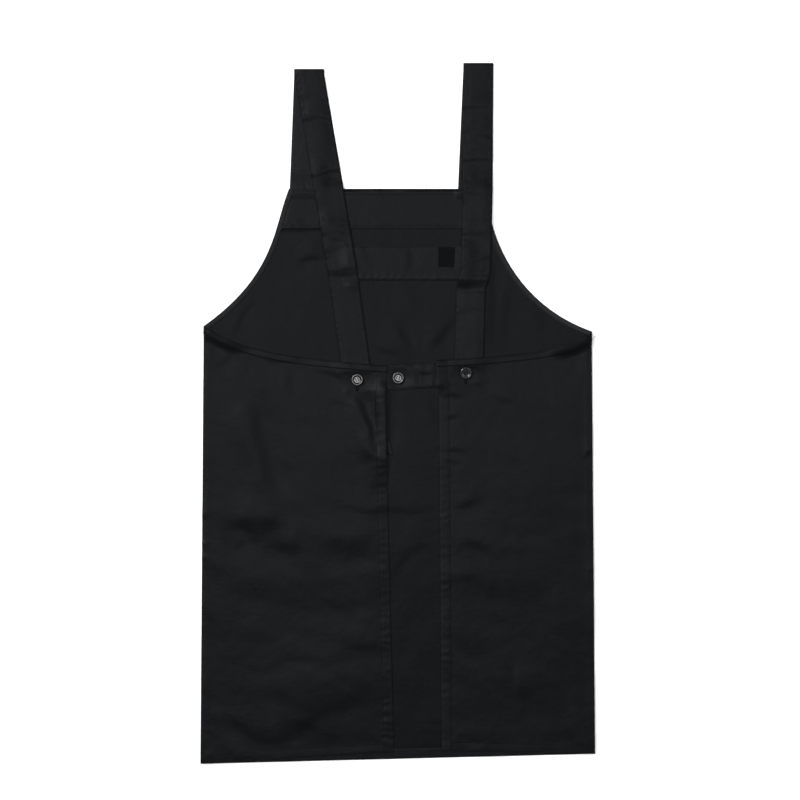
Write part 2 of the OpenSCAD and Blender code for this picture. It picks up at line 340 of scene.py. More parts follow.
def add_fold(relief, path, height, dark=9, light=34, ends=0.45):
    """A soft fold along a path: the cloth drops within the width dark, towards the shadow side,
    and comes back to its level over the width light on either side."""
    path = np.asarray(path, float)
    line = curve(path) if len(path) > 2 else spaced(path, 8)
    here = region(line, 2.2 * light)
    signed, along = nearest(line, WX[here], WY[here])
    direction = line[-1] - line[0]
    left = np.array([-direction[1], direction[0]])
    s = signed * (1 if left @ SHADE > 0 else -1)
    total = lengths(line)[-1]
    end = max(5.0, ends * total)
    fade = smooth(along / end) * smooth((total - along) / end)
    relief[here] -= height / 2 * np.tanh(s / (dark / 2)) * np.exp(-(s / light) ** 2) * fade


def add_bump(relief, middle, size, height, turn=0.0):
    """A smooth mound or hollow, size = (half length, half width)."""
    c, s = math.cos(math.radians(turn)), math.sin(math.radians(turn))
    dx, dy = GX - middle[0], GY - middle[1]
    u, v = (dx * c + dy * s) / size[0], (dy * c - dx * s) / size[1]
    relief += height * np.exp(-(u * u + v * v))


def add_puckers(relief, path, period, depth, inner, outer, seed, strength=None):
    """Small gathers across a band beside a seam, from inner to outer to the left of the path."""
    line = spaced(path, 60)
    here = region(line, max(abs(inner), abs(outer)) + 4)
    signed, along = nearest(line, GX[here], GY[here])
    jitter = noise(seed, 22)[here] * 3.4
    wave = 0.5 + 0.5 * np.sin(2 * math.pi * along / period + jitter)
    low, high = sorted((inner, outer))
    band = smooth((signed - low) / 3 + 0.5) * smooth((high - signed) / 3 + 0.5)
    amount = depth * np.clip(0.6 + 0.8 * noise(seed + 1, 26)[here], 0.05, 1.4)
    if strength is not None:
        amount = amount * strength(GY[here])
    relief[here] += amount * wave * band


def add_groove(relief, path, depth, width=1.6):
    """The dip that a row of stitches pulls into the cloth."""
    here = region(path, 4 * width)
    signed, _ = nearest(np.asarray(path, float), GX[here], GY[here])
    relief[here] -= depth * np.exp(-(signed / width) ** 2)


def add_pleat(relief, axis, heights, low, high, soft=3.0):
    """Cloth pressed into flat faces across a strip: height by distance along the axis (0 is X, 1 is Y),
    between low and high along the other one."""
    here, other = (WX, GY) if axis == 0 else (WY, GX)
    at, value = zip(*heights)
    window = smooth((other - low) / soft + 0.5) * smooth((high - other) / soft + 0.5)
    relief += np.interp(here, at, value) * window


# ---------------------------------------------------------------- meshes

def mesh_object(name, points, faces, material):
    mesh = bpy.data.meshes.new(name)
    mesh.from_pydata((np.asarray(points) * MM).tolist(), [], faces)
    mesh.validate()
    mesh.polygons.foreach_set("use_smooth", [True] * len(mesh.polygons))
    mesh.materials.append(material)
    mesh.update()
    made = bpy.data.objects.new(name, mesh)
    bpy.context.scene.collection.objects.link(made)
    return made


def set_attribute(made, name, kind, values):
    attribute = made.data.attributes.new(name, kind, "POINT")
    field = "vector" if kind == "FLOAT_VECTOR" else "value"
    attribute.data.foreach_set(field, np.asarray(values, np.float32).ravel())


def grid_faces(rows, columns, first=0, flip=False):
    j, i = np.meshgrid(np.arange(rows - 1), np.arange(columns - 1), indexing="ij")
    a = (first + j * columns + i).ravel()
    quads = np.stack([a, a + 1, a + 1 + columns, a + columns], axis=1)
    return (quads[:, ::-1] if flip else quads).tolist()


def rim_loop(rows, columns):
    """Indices round the border of a grid, anticlockwise."""
    bottom = list(range(columns - 1))
    right = [j * columns + columns - 1 for j in range(rows - 1)]
    top = [(rows - 1) * columns + i for i in range(columns - 1, 0, -1)]
    left = [j * columns for j in range(rows - 1, 0, -1)]
    return bottom + right + top + left


def sheet_mesh(name, under, over, material, grain=None, wear=None):
    """A closed sheet between two grids of points, each (rows, columns, 3) in mm."""
    rows, columns = under.shape[:2]
    size = rows * columns
    points = np.vstack([over.reshape(-1, 3), under.reshape(-1, 3)])
    faces = grid_faces(rows, columns) + grid_faces(rows, columns, size, flip=True)
    loop = rim_loop(rows, columns)
    for a, b in zip(loop, loop[1:] + loop[:1]):
        faces.append([a, a + size, b + size, b])
    made = mesh_object(name, points, faces, material)
    along = grain if grain is not None else over[..., :2]
    rest = np.dstack([along, np.zeros((rows, columns))]).reshape(-1, 3) * MM
    set_attribute(made, "grain", "FLOAT_VECTOR", np.vstack([rest, rest]))
    rubbed = np.zeros((rows, columns)) if wear is None else wear
    set_attribute(made, "wear", "FLOAT", np.concatenate([rubbed.ravel(), rubbed.ravel()]))
    return made


def edged(field):
    """A patch's values with one more row and column just inside each border, for a crisp edge."""
    part = 0.14     # of the cell at the border
    for _ in range(2):
        field = np.moveaxis(field, 0, 1)
        first = field[:1] * (1 - part) + field[1:2] * part
        last = field[-1:] * (1 - part) + field[-2:-1] * part
        field = np.concatenate([field[:1], first, field[1:-1], last, field[-1:]])
    return field


def edge_wear(x, y):
    """1 at the border of a patch, falling to 0 further in."""
    nearer = []
    for axis in (0, 1):
        step = np.hypot(np.diff(x, axis=axis), np.diff(y, axis=axis))
        pad = ((1, 0), (0, 0)) if axis == 0 else ((0, 0), (1, 0))
        at = np.cumsum(np.pad(step, pad), axis=axis)
        nearer.append(np.minimum(at, at.max(axis=axis, keepdims=True) - at))
    return np.exp(-np.minimum(*nearer) / WEAR_REACH)


def settle(x, y, relief, ply, lie):
    """Where a ply would lie on the cloth so far: the height of its underside. Adds it to the map."""
    global terrain
    support = np.maximum(blurred(swollen(terrain, lie[0]), lie[1]), terrain)
    bottom = sample(support + AIR + np.maximum(relief, 0), x, y)
    top_here, covered = on_map(x, y, bottom + ply)
    terrain = np.where(covered, np.maximum(terrain, top_here), terrain)
    return bottom


def lay(name, x, y, relief, material, ply=PLY, lie=(3, 4), grain=None, turn_down=0.0, wear=1.0):
    """Lays a sheet over what is there, adds it to the height map and builds it.

    x and y are the patch's points. relief is a map of extra height over what it rests on, and what
    it rests on is first widened and then softened by the two distances of lie.
    """
    x, y = edged(x), edged(y)
    grain = None if grain is None else edged(grain)
    bottom = settle(x, y, relief, ply, lie)
    over = np.dstack([x, y, bottom + ply])
    under = np.dstack([x, y, bottom])
    border = np.ones(x.shape, bool)
    border[1:-1, 1:-1] = False
    over[..., 2] -= np.where(border, 0.15 * ply + turn_down, 0)
    under[..., 2] += np.where(border, 0.3 * ply, 0)
    over[..., 2] = np.maximum(over[..., 2], under[..., 2] + 0.15 * ply)
    return sheet_mesh(name, under, over, material, grain, wear * edge_wear(x, y))


def coons(bottom, right, top, left):
    """A patch between four polylines. Bottom and top run left to right, the others upwards."""
    u = np.linspace(0, 1, len(bottom))[None, :, None]
    v = np.linspace(0, 1, len(left))[:, None, None]
    across = left[:, None] * (1 - u) + right[:, None] * u
    up = bottom[None] * (1 - v) + top[None] * v
    corners = (bottom[0] * (1 - u) * (1 - v) + bottom[-1] * u * (1 - v)
               + top[0] * (1 - u) * v + top[-1] * u * v)
    patch = across + up - corners
    return patch[..., 0], patch[..., 1]


def ribbon(path, right_distance, left_distance, step=GRAIN):
    """A strip between two distances beside a path: rows along it, columns across it."""
    count = max(2, int(lengths(np.asarray(path))[-1] / step))
    line = spaced(path, count)
    columns = max(2, int(abs(left_distance - right_distance) / step + 0.5))
    offsets = np.linspace(left_distance, right_distance, columns + 1)
    rows = np.stack([beside(line, d) for d in offsets], axis=1)
    at = lengths(line)
    grain = np.dstack([np.repeat(-offsets[None, :], len(line), 0), np.repeat(at[:, None], columns + 1, 1)])
    return rows[..., 0], rows[..., 1], grain


# ---------------------------------------------------------------- materials

def new_material(name):
    made = bpy.data.materials.new(name)
    made.use_nodes = True
    made.node_tree.nodes.clear()
    return made, made.node_tree


def add_node(tree, kind, values=None, **settings):
    made = tree.nodes.new(kind)
    for key, value in settings.items():
        setattr(made, key, value)
    for key, value in (values or {}).items():
        made.inputs[key].default_value = value
    return made


def mix_colours(tree, factor, first, second):
    """Mixes two colours, each an RGBA tuple or another node's output."""
    mix = add_node(tree, "ShaderNodeMix", data_type="RGBA")
    tree.links.new(factor, mix.inputs[0])
    for socket, colour in ((mix.inputs[6], first), (mix.inputs[7], second)):
        if isinstance(colour, tuple):
            socket.default_value = (*colour, 1)
        else:
            tree.links.new(colour, socket)
    return mix.outputs[2]


def spread(tree, value, low, high, to_low=0.0, to_high=1.0):
    """Maps the range low to high of a value to another range."""
    made = add_node(tree, "ShaderNodeMapRange", {1: low, 2: high, 3: to_low, 4: to_high})
    tree.links.new(value, made.inputs[0])
    return made.outputs[0]


def noise_node(tree, vector, scale, detail=3.0, roughness=0.5):
    made = add_node(tree, "ShaderNodeTexNoise", {"Scale": scale, "Detail": detail, "Roughness": roughness})
    tree.links.new(vector, made.inputs["Vector"])
    return made.outputs["Fac"]


def stretched(tree, vector, scale):
    """The vector scaled by a different amount along each axis."""
    made = add_node(tree, "ShaderNodeMapping", {"Scale": scale})
    tree.links.new(vector, made.inputs["Vector"])
    return made.outputs["Vector"]


def bump_node(tree, height, distance, strength, below=None):
    made = add_node(tree, "ShaderNodeBump", {"Strength": strength, "Distance": distance})
    tree.links.new(height, made.inputs["Height"])
    if below is not None:
        tree.links.new(below, made.inputs["Normal"])
    return made.outputs["Normal"]


def shader(tree, colour, roughness, normal, **fixed):
    made = add_node(tree, "ShaderNodeBsdfPrincipled")
    tree.links.new(colour, made.inputs["Base Color"])
    tree.links.new(roughness, made.inputs["Roughness"])
    tree.links.new(normal, made.inputs["Normal"])
    for key, value in fixed.items():
        made.inputs[key.replace("_", " ")].default_value = value
    output = add_node(tree, "ShaderNodeOutputMaterial")
    tree.links.new(made.outputs[0], output.inputs["Surface"])
    return made


def woven(name, dark, light, worn, pitch=0.7, ribs=None, rough=(0.38, 0.47), level=0.058, sheen=0.008):
    """Black twill: diagonal wales, uneven dye, lint and rubbed edges. Ribs, if any, run across the piece."""
    made, tree = new_material(name)
    grain = add_node(tree, "ShaderNodeAttribute", attribute_name="grain").outputs["Vector"]
    wear = add_node(tree, "ShaderNodeAttribute", attribute_name="wear").outputs["Fac"]
    patches = noise_node(tree, grain, 18.0, 6.0, 0.68)
    yarns = noise_node(tree, stretched(tree, grain, (260.0, 2600.0, 1.0)), 1.0, 2.0, 0.6)
    lint = noise_node(tree, grain, 900.0, 2.0, 0.7)
    dye = mix_colours(tree, spread(tree, patches, 0.3, 0.7), dark, light)
    flecked = mix_colours(tree, spread(tree, lint, 0.62, 0.85, 0.0, 0.5), dye, worn)
    broken = noise_node(tree, grain, 160.0, 3.0, 0.65)
    rubbed = add_node(tree, "ShaderNodeMath", operation="MULTIPLY")
    tree.links.new(wear, rubbed.inputs[0])
    tree.links.new(spread(tree, broken, 0.35, 0.7, 0.15, 0.85), rubbed.inputs[1])
    colour = mix_colours(tree, rubbed.outputs[0], flecked, worn)
    wales = add_node(tree, "ShaderNodeTexWave", {"Scale": 0.6283 / (pitch * math.sqrt(2) * MM),
                                                "Distortion": 0.6, "Detail": 1.0, "Detail Scale": 1.5},
                     wave_type="BANDS", bands_direction="DIAGONAL")
    tree.links.new(grain, wales.inputs["Vector"])
    normal = bump_node(tree, wales.outputs["Fac"], 0.00006, 0.5)
    normal = bump_node(tree, yarns, 0.00005, 0.5, normal)
    normal = bump_node(tree, noise_node(tree, grain, 95.0, 4.0, 0.62), 0.0011, 0.32, normal)
    normal = bump_node(tree, noise_node(tree, grain, 34.0, 4.0, 0.6), 0.003, 0.34, normal)
    if ribs:
        rib = add_node(tree, "ShaderNodeTexWave", {"Scale": 0.314 / (ribs * MM), "Distortion": 1.2,
                                                  "Detail": 1.0, "Detail Scale": 1.0},
                       wave_type="BANDS", bands_direction="Y")
        tree.links.new(grain, rib.inputs["Vector"])
        normal = bump_node(tree, rib.outputs["Fac"], 0.0004, 0.6, normal)
    shader(tree, colour, spread(tree, patches, 0.3, 0.7, *rough), normal, Specular_IOR_Level=level,
           Sheen_Weight=sheen, Sheen_Roughness=0.45, Sheen_Tint=(0.75, 0.82, 0.95, 1))
    return made


def thread_material():
    made, tree = new_material("black_sewing_thread")
    place = add_node(tree, "ShaderNodeTexCoord").outputs["Object"]
    strands = noise_node(tree, place, 2200.0, 2.0, 0.6)
    colour = mix_colours(tree, spread(tree, strands, 0.3, 0.7),
                         (0.0010, 0.0011, 0.0014), (0.0024, 0.0026, 0.0030))
    normal = bump_node(tree, strands, 0.00008, 0.6)
    shader(tree, colour, spread(tree, strands, 0.3, 0.7, 0.5, 0.65), normal, Specular_IOR_Level=0.02)
    return made


def button_material():
    made, tree = new_material("glossy_black_button")
    place = add_node(tree, "ShaderNodeTexCoord").outputs["Object"]
    cloud = noise_node(tree, place, 260.0, 3.0, 0.5)
    scratches = noise_node(tree, stretched(tree, place, (300.0, 5200.0, 300.0)), 1.0, 2.0, 0.6)
    colour = mix_colours(tree, spread(tree, cloud, 0.3, 0.7), (0.0035, 0.0036, 0.004), (0.008, 0.0082, 0.009))
    normal = bump_node(tree, scratches, 0.00001, 0.12)
    shader(tree, colour, spread(tree, scratches, 0.35, 0.75, 0.12, 0.26), normal, Specular_IOR_Level=0.36)
    return made


TWILL = woven("black_twill", (0.0018, 0.0021, 0.0027), (0.0029, 0.0032, 0.0039), (0.0060, 0.0064, 0.0072),
              level=0.050)
INSIDE = woven("black_twill_wrong_side", (0.0017, 0.0020, 0.0026), (0.0027, 0.0030, 0.0037),
               (0.0056, 0.0060, 0.0068), rough=(0.40, 0.49), level=0.047)
STRAP_TWILL = woven("black_strap_twill", (0.0017, 0.0020, 0.0026), (0.0028, 0.0031, 0.0038),
                    (0.0060, 0.0064, 0.0072), rough=(0.38, 0.47), level=0.054)
LINING = woven("black_lining_twill", (0.0018, 0.0021, 0.0027), (0.0029, 0.0032, 0.0039),
               (0.0060, 0.0064, 0.0072), level=0.054)
BINDING = woven("ribbed_black_binding", (0.0056, 0.0060, 0.0067), (0.0078, 0.0082, 0.0090),
                (0.014, 0.0145, 0.0155), ribs=1.4, rough=(0.44, 0.56), level=0.08, sheen=0.02)
WAIST_BINDING = woven("plain_black_binding", (0.0018, 0.0022, 0.0028), (0.0028, 0.0032, 0.0039),
                      (0.0055, 0.0060, 0.0068), rough=(0.39, 0.49), level=0.045)
# A darker, duller twill for the sheet on the cross band: painted shade where the band's sheen is darker
SHADE_SATIN = woven("painted_shade_satin", (0.0016, 0.0018, 0.0023), (0.0022, 0.0025, 0.0031),
              (0.0040, 0.0043, 0.0048), pitch=0.4, rough=(0.55, 0.65), level=0.026, sheen=0.0)
THREAD = thread_material()
PLASTIC = button_material()


# ---------------------------------------------------------------- stitches

stitch_rows = {}


def add_stitches(group, path, seed):
    """A row of stitches on the cloth below it, kept in a group until the group's mesh is built."""
    path = np.asarray(path, float)
    total = lengths(path)[-1]
    count = max(1, int(total / STITCH))
    line = spaced(path, count * 2)
    rng = np.random.default_rng(1000 + seed + len(stitch_rows.get(group, [])))
    heights = sample(terrain, line[:, 0], line[:, 1])
    for k in range(count):
        a, m, b = line[2 * k], line[2 * k + 1], line[2 * k + 2]
        way = (b - a) / max(np.linalg.norm(b - a), 1e-9)
        reach = (b - a) * (1 - STITCH_SHARE) / 2 * rng.uniform(0.8, 1.2)
        across = np.array([-way[1], way[0]]) * rng.normal(0, 0.05)
        start = np.array([*(a + reach + across), heights[2 * k] - 0.05])
        middle = np.array([*m, heights[2 * k + 1] + STITCH_RADIUS * 0.9])
        end = np.array([*(b - reach - across), heights[2 * k + 2] - 0.05])
        stitch_rows.setdefault(group, []).append((start, middle, end))


def tube(path, radii, sides=6):
    """Points and faces of a closed tube along a path in mm."""
    path = np.asarray(path, float)
    way = np.gradient(path, axis=0)
    way /= np.linalg.norm(way, axis=1)[:, None]
    hint = np.array([0.0, 0.0, 1.0]) if abs(way[0][2]) < 0.8 else np.array([1.0, 0.0, 0.0])
    points, faces = [], []
    for p, w, r in zip(path, way, radii):
        side = np.cross(w, hint)
        side /= np.linalg.norm(side)
        up = np.cross(side, w)
        for k in range(sides):
            turn = 2 * math.pi * k / sides
            points.append(p + r * (side * math.cos(turn) + up * math.sin(turn)))
        hint = up
    for ring in range(len(path) - 1):
        for k in range(sides):
            a, b = ring * sides + k, ring * sides + (k + 1) % sides
            faces.append([a, b, b + sides, a + sides])
    faces.append(list(range(sides))[::-1])
    faces.append([(len(path) - 1) * sides + k for k in range(sides)])
    return points, faces


def joined(name, parts, material):
    """One object from several lists of points and faces."""
    points, faces = [], []
    for some_points, some_faces in parts:
        first = len(points)
        points += list(some_points)
        faces += [[first + i for i in face] for face in some_faces]
    return mesh_object(name, points, faces, material)


def build_stitches(group):
    parts = []
    for start, middle, end in stitch_rows.pop(group):
        path = [start, start * 0.6 + middle * 0.4 + [0, 0, 0.1], middle,
                end * 0.6 + middle * 0.4 + [0, 0, 0.1], end]
        parts.append(tube(path, [STITCH_RADIUS * r for r in (0.45, 0.9, 1.0, 0.9, 0.45)], 5))
    made = joined(group, parts, THREAD)
    return made


# ---------------------------------------------------------------- outlines of the pieces

front = outline("front_panel")
HEM = (front[farthest(front, (-1, -1))], front[farthest(front, (1, -1))])
underarm_at = (farthest(front, (-1, 0.3)), farthest(front, (1, 0.3)))
bib_at = (farthest(front, (-0.3, 1)), farthest(front, (0.3, 1)))
UNDERARM = tuple(front[i] for i in underarm_at)
BIB = tuple(front[i] for i in bib_at)
# Each armhole runs from the bib's corner down to the underarm
ARMHOLE = (run_between(front, bib_at[LEFT], underarm_at[LEFT]),
           run_between(front, underarm_at[RIGHT], bib_at[RIGHT])[::-1])
OUT = (-1, 1)        # the outward direction of each side along X


def panel_edges(side):
    """A back panel's waist edge, from the underarm, and its centre edge, from the waist down."""
    panel = outline("back_panel_" + SIDES[side])
    flap = outline("back_flap_" + SIDES[side])
    start = farthest(panel, (OUT[side], 1))
    corner = farthest(panel, (-OUT[side], 1))
    if side == LEFT:
        waist = run_between(panel, corner, start)[::-1]
        knee = panel[corner - 1]
    else:
        waist = run_between(panel, start, corner)
        knee = panel[(corner + 1) % len(panel)]
    hem = flap[farthest(flap, (-OUT[side], -1))]
    return waist, np.array([panel[corner], knee, hem])


WAIST, CENTRE = zip(*(panel_edges(side) for side in (LEFT, RIGHT)))


def joint(name):
    return next(j for j in frame["joints"] if j["name"] == name)


def fold_of(side):
    """A point on the panel's fold line and the direction across it, towards the flap."""
    hinge = joint("flap_" + SIDES[side] + "_fold")
    start, axis = np.array(hinge["pos_m"]), np.array(hinge["axis"])
    across = np.array([-axis[1], axis[0], 0.0])
    flap = outline("back_flap_" + SIDES[side]).mean(0) * MM
    return start, across if (flap - start[:2]) @ across[:2] > 0 else -across


def bend_flap(made, side):
    """Bakes the place of a piece of the back panel into its mesh."""
    start, across = fold_of(side)
    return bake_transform(made)


def bend_loop(made):
    """Bakes the place of a piece of the strap into its mesh."""
    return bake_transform(made)


def middle_line(name):
    """Middle line of a strip that runs along Y, from its lower end, in mm."""
    points = outline(name)
    levels = sorted({round(float(y), 1) for y in points[:, 1]})
    found = []
    for level in levels:
        here = points[np.abs(points[:, 1] - level) < 0.06]
        found.append([(here[:, 0].min() + here[:, 0].max()) / 2, here[0, 1]])
    return np.array(found)


flat = np.zeros(GX.shape)


# ---------------------------------------------------------------- pockets and front panel

def make_pocket(side):
    name = "pocket_" + SIDES[side]
    shape = outline(name)
    low, high = node_box(name)
    rows = np.linspace(low[1], high[1], int((high[1] - low[1]) / GRAIN))
    x = np.array([np.linspace(*crossing(shape, y), int((high[0] - low[0]) / GRAIN)) for y in rows])
    y = np.repeat(rows[:, None], x.shape[1], 1)
    made = lay(name + "_cloth", x, y, flat, TWILL)
    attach(made, "garment")
    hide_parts(name)


def front_patch():
    columns = int((HEM[RIGHT][0] - HEM[LEFT][0]) / (GRAIN * 1.15))
    along = int(np.linalg.norm(UNDERARM[LEFT] - HEM[LEFT]) / (GRAIN * 1.15))
    around = int(lengths(ARMHOLE[LEFT])[-1] / (GRAIN * 1.15))
    sides = [np.vstack([spaced([HEM[s], UNDERARM[s]], along), spaced(ARMHOLE[s][::-1], around)[1:]])
             for s in (LEFT, RIGHT)]
    return coons(spaced([HEM[LEFT], HEM[RIGHT]], columns), sides[RIGHT],
                 spaced([BIB[LEFT], BIB[RIGHT]], columns), sides[LEFT])


PACKING_CREASE = [(-120, -136), (-75, -143), (-30, -146), (20, -147), (62, -145), (100, -138)]

# Folds of the front panel: path, height, width of the dark slope, width of the light slope
FRONT_FOLDS = [
    # in the gap between the back panels
    ([(-10, -262), (2, -226), (30, -202), (72, -192)], 1.6, 12, 28),
    ([(-8, -340), (24, -300), (68, -284)], 0.7, 22, 40),
    ([(-2, -452), (34, -420), (72, -404)], 0.7, 22, 40),
    ([(-28, 44), (-27, -20), (-24, -118)], 3.5, 10, 20, 0.2),
    ([(-15, 46), (-14, -10), (-14, -72)], 4.5, 6.5, 14),
    ([(41, 34), (51, 4), (64, -34)], 1.5, 5, 16),
    ([(40, 30), (58, -4), (66, -30)], 0.7, 3, 6),
    ([(56, -50), (68, -53)], 1.0, 3, 8),
    # above the tab
    ([(-6, 148), (10, 114), (34, 82)], 2.8, 10, 22),
    ([(86, 152), (68, 120), (44, 82)], 2.8, 10, 22),
    ([(-44, 108), (-18, 94), (10, 78)], 1.8, 8, 14),
    ([(28, 128), (34, 104), (39, 82)], 1.2, 7, 14),
    ([(12, 196), (22, 168), (26, 140)], 1.0, 12, 24),
    # bib, beside the straps
    ([(141, 240), (139, 165), (136, 84)], 3.2, 11, 22, 0.3),
    ([(170, 214), (160, 150), (156, 84)], 2.4, 15, 26, 0.35),
    ([(205, 170), (214, 132), (212, 98)], 0.9, 14, 28),
    ([(-208, 178), (-236, 140), (-246, 100)], 1.2, 4, 16),
    ([(-156, 227), (-136, 231), (-108, 230)], 1.5, 4, 12, 0.3),
    ([(-230, 276.5), (-150, 276.5), (-84, 276)], 2.0, 3.5, 14, 0.2),
    ([(-156, 238), (-128, 236), (-104, 240)], 1.6, 9, 18),
    ([(-154, 300), (-140, 276)], 0.8, 12, 24),
    ([(-150, 160), (-118, 120)], 0.8, 16, 34),
]


def make_front():
    x, y = front_patch()
    relief = 1.5 + 0.45 * noise(3, 34, -60, 1.8) + 0.5 * noise(4, 70, 40, 1.5)
    for fold in FRONT_FOLDS:
        add_fold(relief, *fold)
    add_fold(relief, PACKING_CREASE, 1.1, 7, 24)
    for side in (LEFT, RIGHT):
        inner = beside(ARMHOLE[side], (-2 * side + 1) * 11)
        add_puckers(relief, inner, 15, 0.3, -5, 5, 20 + side)
    edge = spaced([HEM[LEFT], HEM[RIGHT]], 60)
    add_groove(relief, edge + [0, 15], 0.5, 1.5)
    add_puckers(relief, edge, 17, 0.25, 0, 16, 24)
    made = lay("front_cloth", x, y, held_down(relief), INSIDE, lie=(24, 11))
    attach(made, "garment")
    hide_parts("front_panel")
    return made


for side in (LEFT, RIGHT):
    make_pocket(side)
make_front()


# ---------------------------------------------------------------- straps: front layers

STRAP_WIDTH = float(np.subtract(*crossing(outline("strap_left_upper"), 400.0)[::-1]))
SEW_IN = 11.0        # how far a strap's front end is sewn in below the bib's top edge


def strap_grid(line):
    """Points of a strap whose ends are cut straight across: rows along it from its start."""
    rows = spaced(line, max(2, int(lengths(np.asarray(line))[-1] / STRAP_GRAIN)))
    columns = np.linspace(-STRAP_WIDTH / 2, STRAP_WIDTH / 2, int(STRAP_WIDTH / STRAP_GRAIN) + 1)
    x = rows[:, :1] + columns[None, :]
    y = np.repeat(rows[:, 1:], len(columns), 1)
    return x, y


def settle_strap_front(side):
    """Points of a strap's front layer, from its shoulder down, and the height of its underside."""
    name = "strap_" + SIDES[side]
    low, high = node_box(name + "_shoulder")
    line = middle_line(name + "_front")
    slope = (line[-1][0] - line[0][0]) / (line[-1][1] - line[0][1])
    foot = line[0] - SEW_IN * np.array([slope, 1.0])
    x, y = strap_grid([((low[0] + high[0]) / 2, high[1] - 2.0), (line[-1][0], line[-1][1]), foot])
    relief = 0.3 + 0.3 * noise(30 + side, 24, 10, 1.6)
    return x, y, settle(x, y, relief, STRAP, lie=(18, 9))


strap_front = [settle_strap_front(side) for side in (LEFT, RIGHT)]


# ---------------------------------------------------------------- inside of the bib, hem, seams

def make_facing():
    shape = outline("bib_facing")
    low, high = node_box("bib_facing")
    rows = np.linspace(low[1], high[1], int((high[1] - low[1]) / GRAIN) + 1)
    columns = int((high[0] - low[0]) / GRAIN)
    x = np.array([np.linspace(*crossing(shape, min(max(y, low[1] + 0.01), high[1] - 0.01)), columns)
                  for y in rows])
    y = np.repeat(rows[:, None], columns, 1)
    relief = 0.2 + 0.25 * noise(5, 30, 0, 2.0) + 1.1 * np.exp(-((GY - low[1]) / 4.5) ** 2)
    bottom = spaced([(x[0][0], low[1]), (x[0][-1], low[1])], 60)
    add_groove(relief, bottom + [0, 2.2], 0.3)
    add_puckers(relief, bottom, 14, 0.5, 0, 7, 40)
    add_fold(relief, [(-30, 330), (10, 322), (60, 328)], 1.0, 12, 26)
    made = lay("bib_facing_cloth", x, y, relief, LINING, lie=(1.5, 2))
    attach(made, "garment")
    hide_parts("bib_facing")
    add_stitches("stitches_bib", bottom + [0, 1.4], seed=1)
    add_stitches("stitches_bib", bottom + [0, 4.6], seed=4)
    top = spaced([BIB[LEFT] + [6, 0], BIB[RIGHT] - [4, 0]], 60)
    add_stitches("stitches_bib", top - [0, 2.0], seed=2)
    add_stitches("stitches_bib", top - [0, 8.5], seed=3)


def mitred(x, y, side):
    """Moves the points that a strip's square end pushes past the side seam back onto it."""
    (x1, y1), (x2, y2) = HEM[side], UNDERARM[side]
    limit = x1 + (x2 - x1) * (y - y1) / (y2 - y1)
    return (np.maximum(x, limit), y) if side == LEFT else (np.minimum(x, limit), y)


def make_binding(name, path, width, node, seed, side, material, lie=(1.5, 1.6)):
    """A binding along an edge. The path runs along the edge with the cloth on its left for a
    positive width, and on its right for a negative one."""
    x, y, grain = ribbon(path, min(width, 0.0), max(width, 0.0), 1.5)
    x, y = mitred(x, y, side)
    relief = 0.15 + 0.12 * noise(seed, 9)
    made = lay(name, x, y, relief, material, ply=0.5, lie=lie, grain=grain, turn_down=0.2, wear=0.5)
    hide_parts(node)
    return made


def make_armhole_binding(side):
    width = (8.0, -8.0)[side]
    name = "armhole_binding_" + SIDES[side]
    made = make_binding(name + "_tape", ARMHOLE[side], width, name, 50 + side, side, BINDING)
    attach(made, "garment")
    inner = beside(ARMHOLE[side], width * 0.84)
    add_stitches("stitches_bib", spaced(inner, 80), seed=60 + side)


def make_front_hem():
    line = spaced([HEM[LEFT] + [11, 0], HEM[RIGHT] - [11, 0]], 160)
    x, y, grain = ribbon(line, 0.6, 14.6, 2.4)
    relief = 0.15 + 0.3 * noise(6, 16)
    add_puckers(relief, line, 15, 0.25, 0, 15, 44)
    made = lay("front_hem_cloth", x, y, relief, TWILL, lie=(1.5, 2), grain=grain)
    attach(made, "garment")
    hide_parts("front_hem")
    add_stitches("stitches_front_hem", line + [0, 12.4], seed=5)


def make_side_seam(side):
    """The seam allowance between front and back: both plies, overlocked together."""
    name = "side_seam_" + SIDES[side]
    inward = -OUT[side]
    start, end = HEM[side] + [inward * 0.6, 1.5], UNDERARM[side] + [inward * 0.6, -8.5]
    line = spaced([start, end], 200)
    x, y, grain = ribbon(line, *((-9.0, -0.2) if side == LEFT else (0.2, 9.0)), 2.0)
    relief = 0.1 + 0.3 * noise(70 + side, 14)
    made = lay(name + "_cloth", x, y, relief, TWILL, ply=1.3, lie=(1.5, 2), grain=grain)
    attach(made, "garment")
    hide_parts(name)


make_facing()
for side in (LEFT, RIGHT):
    make_armhole_binding(side)
make_front_hem()
for side in (LEFT, RIGHT):
    make_side_seam(side)


# ---------------------------------------------------------------- waist tab

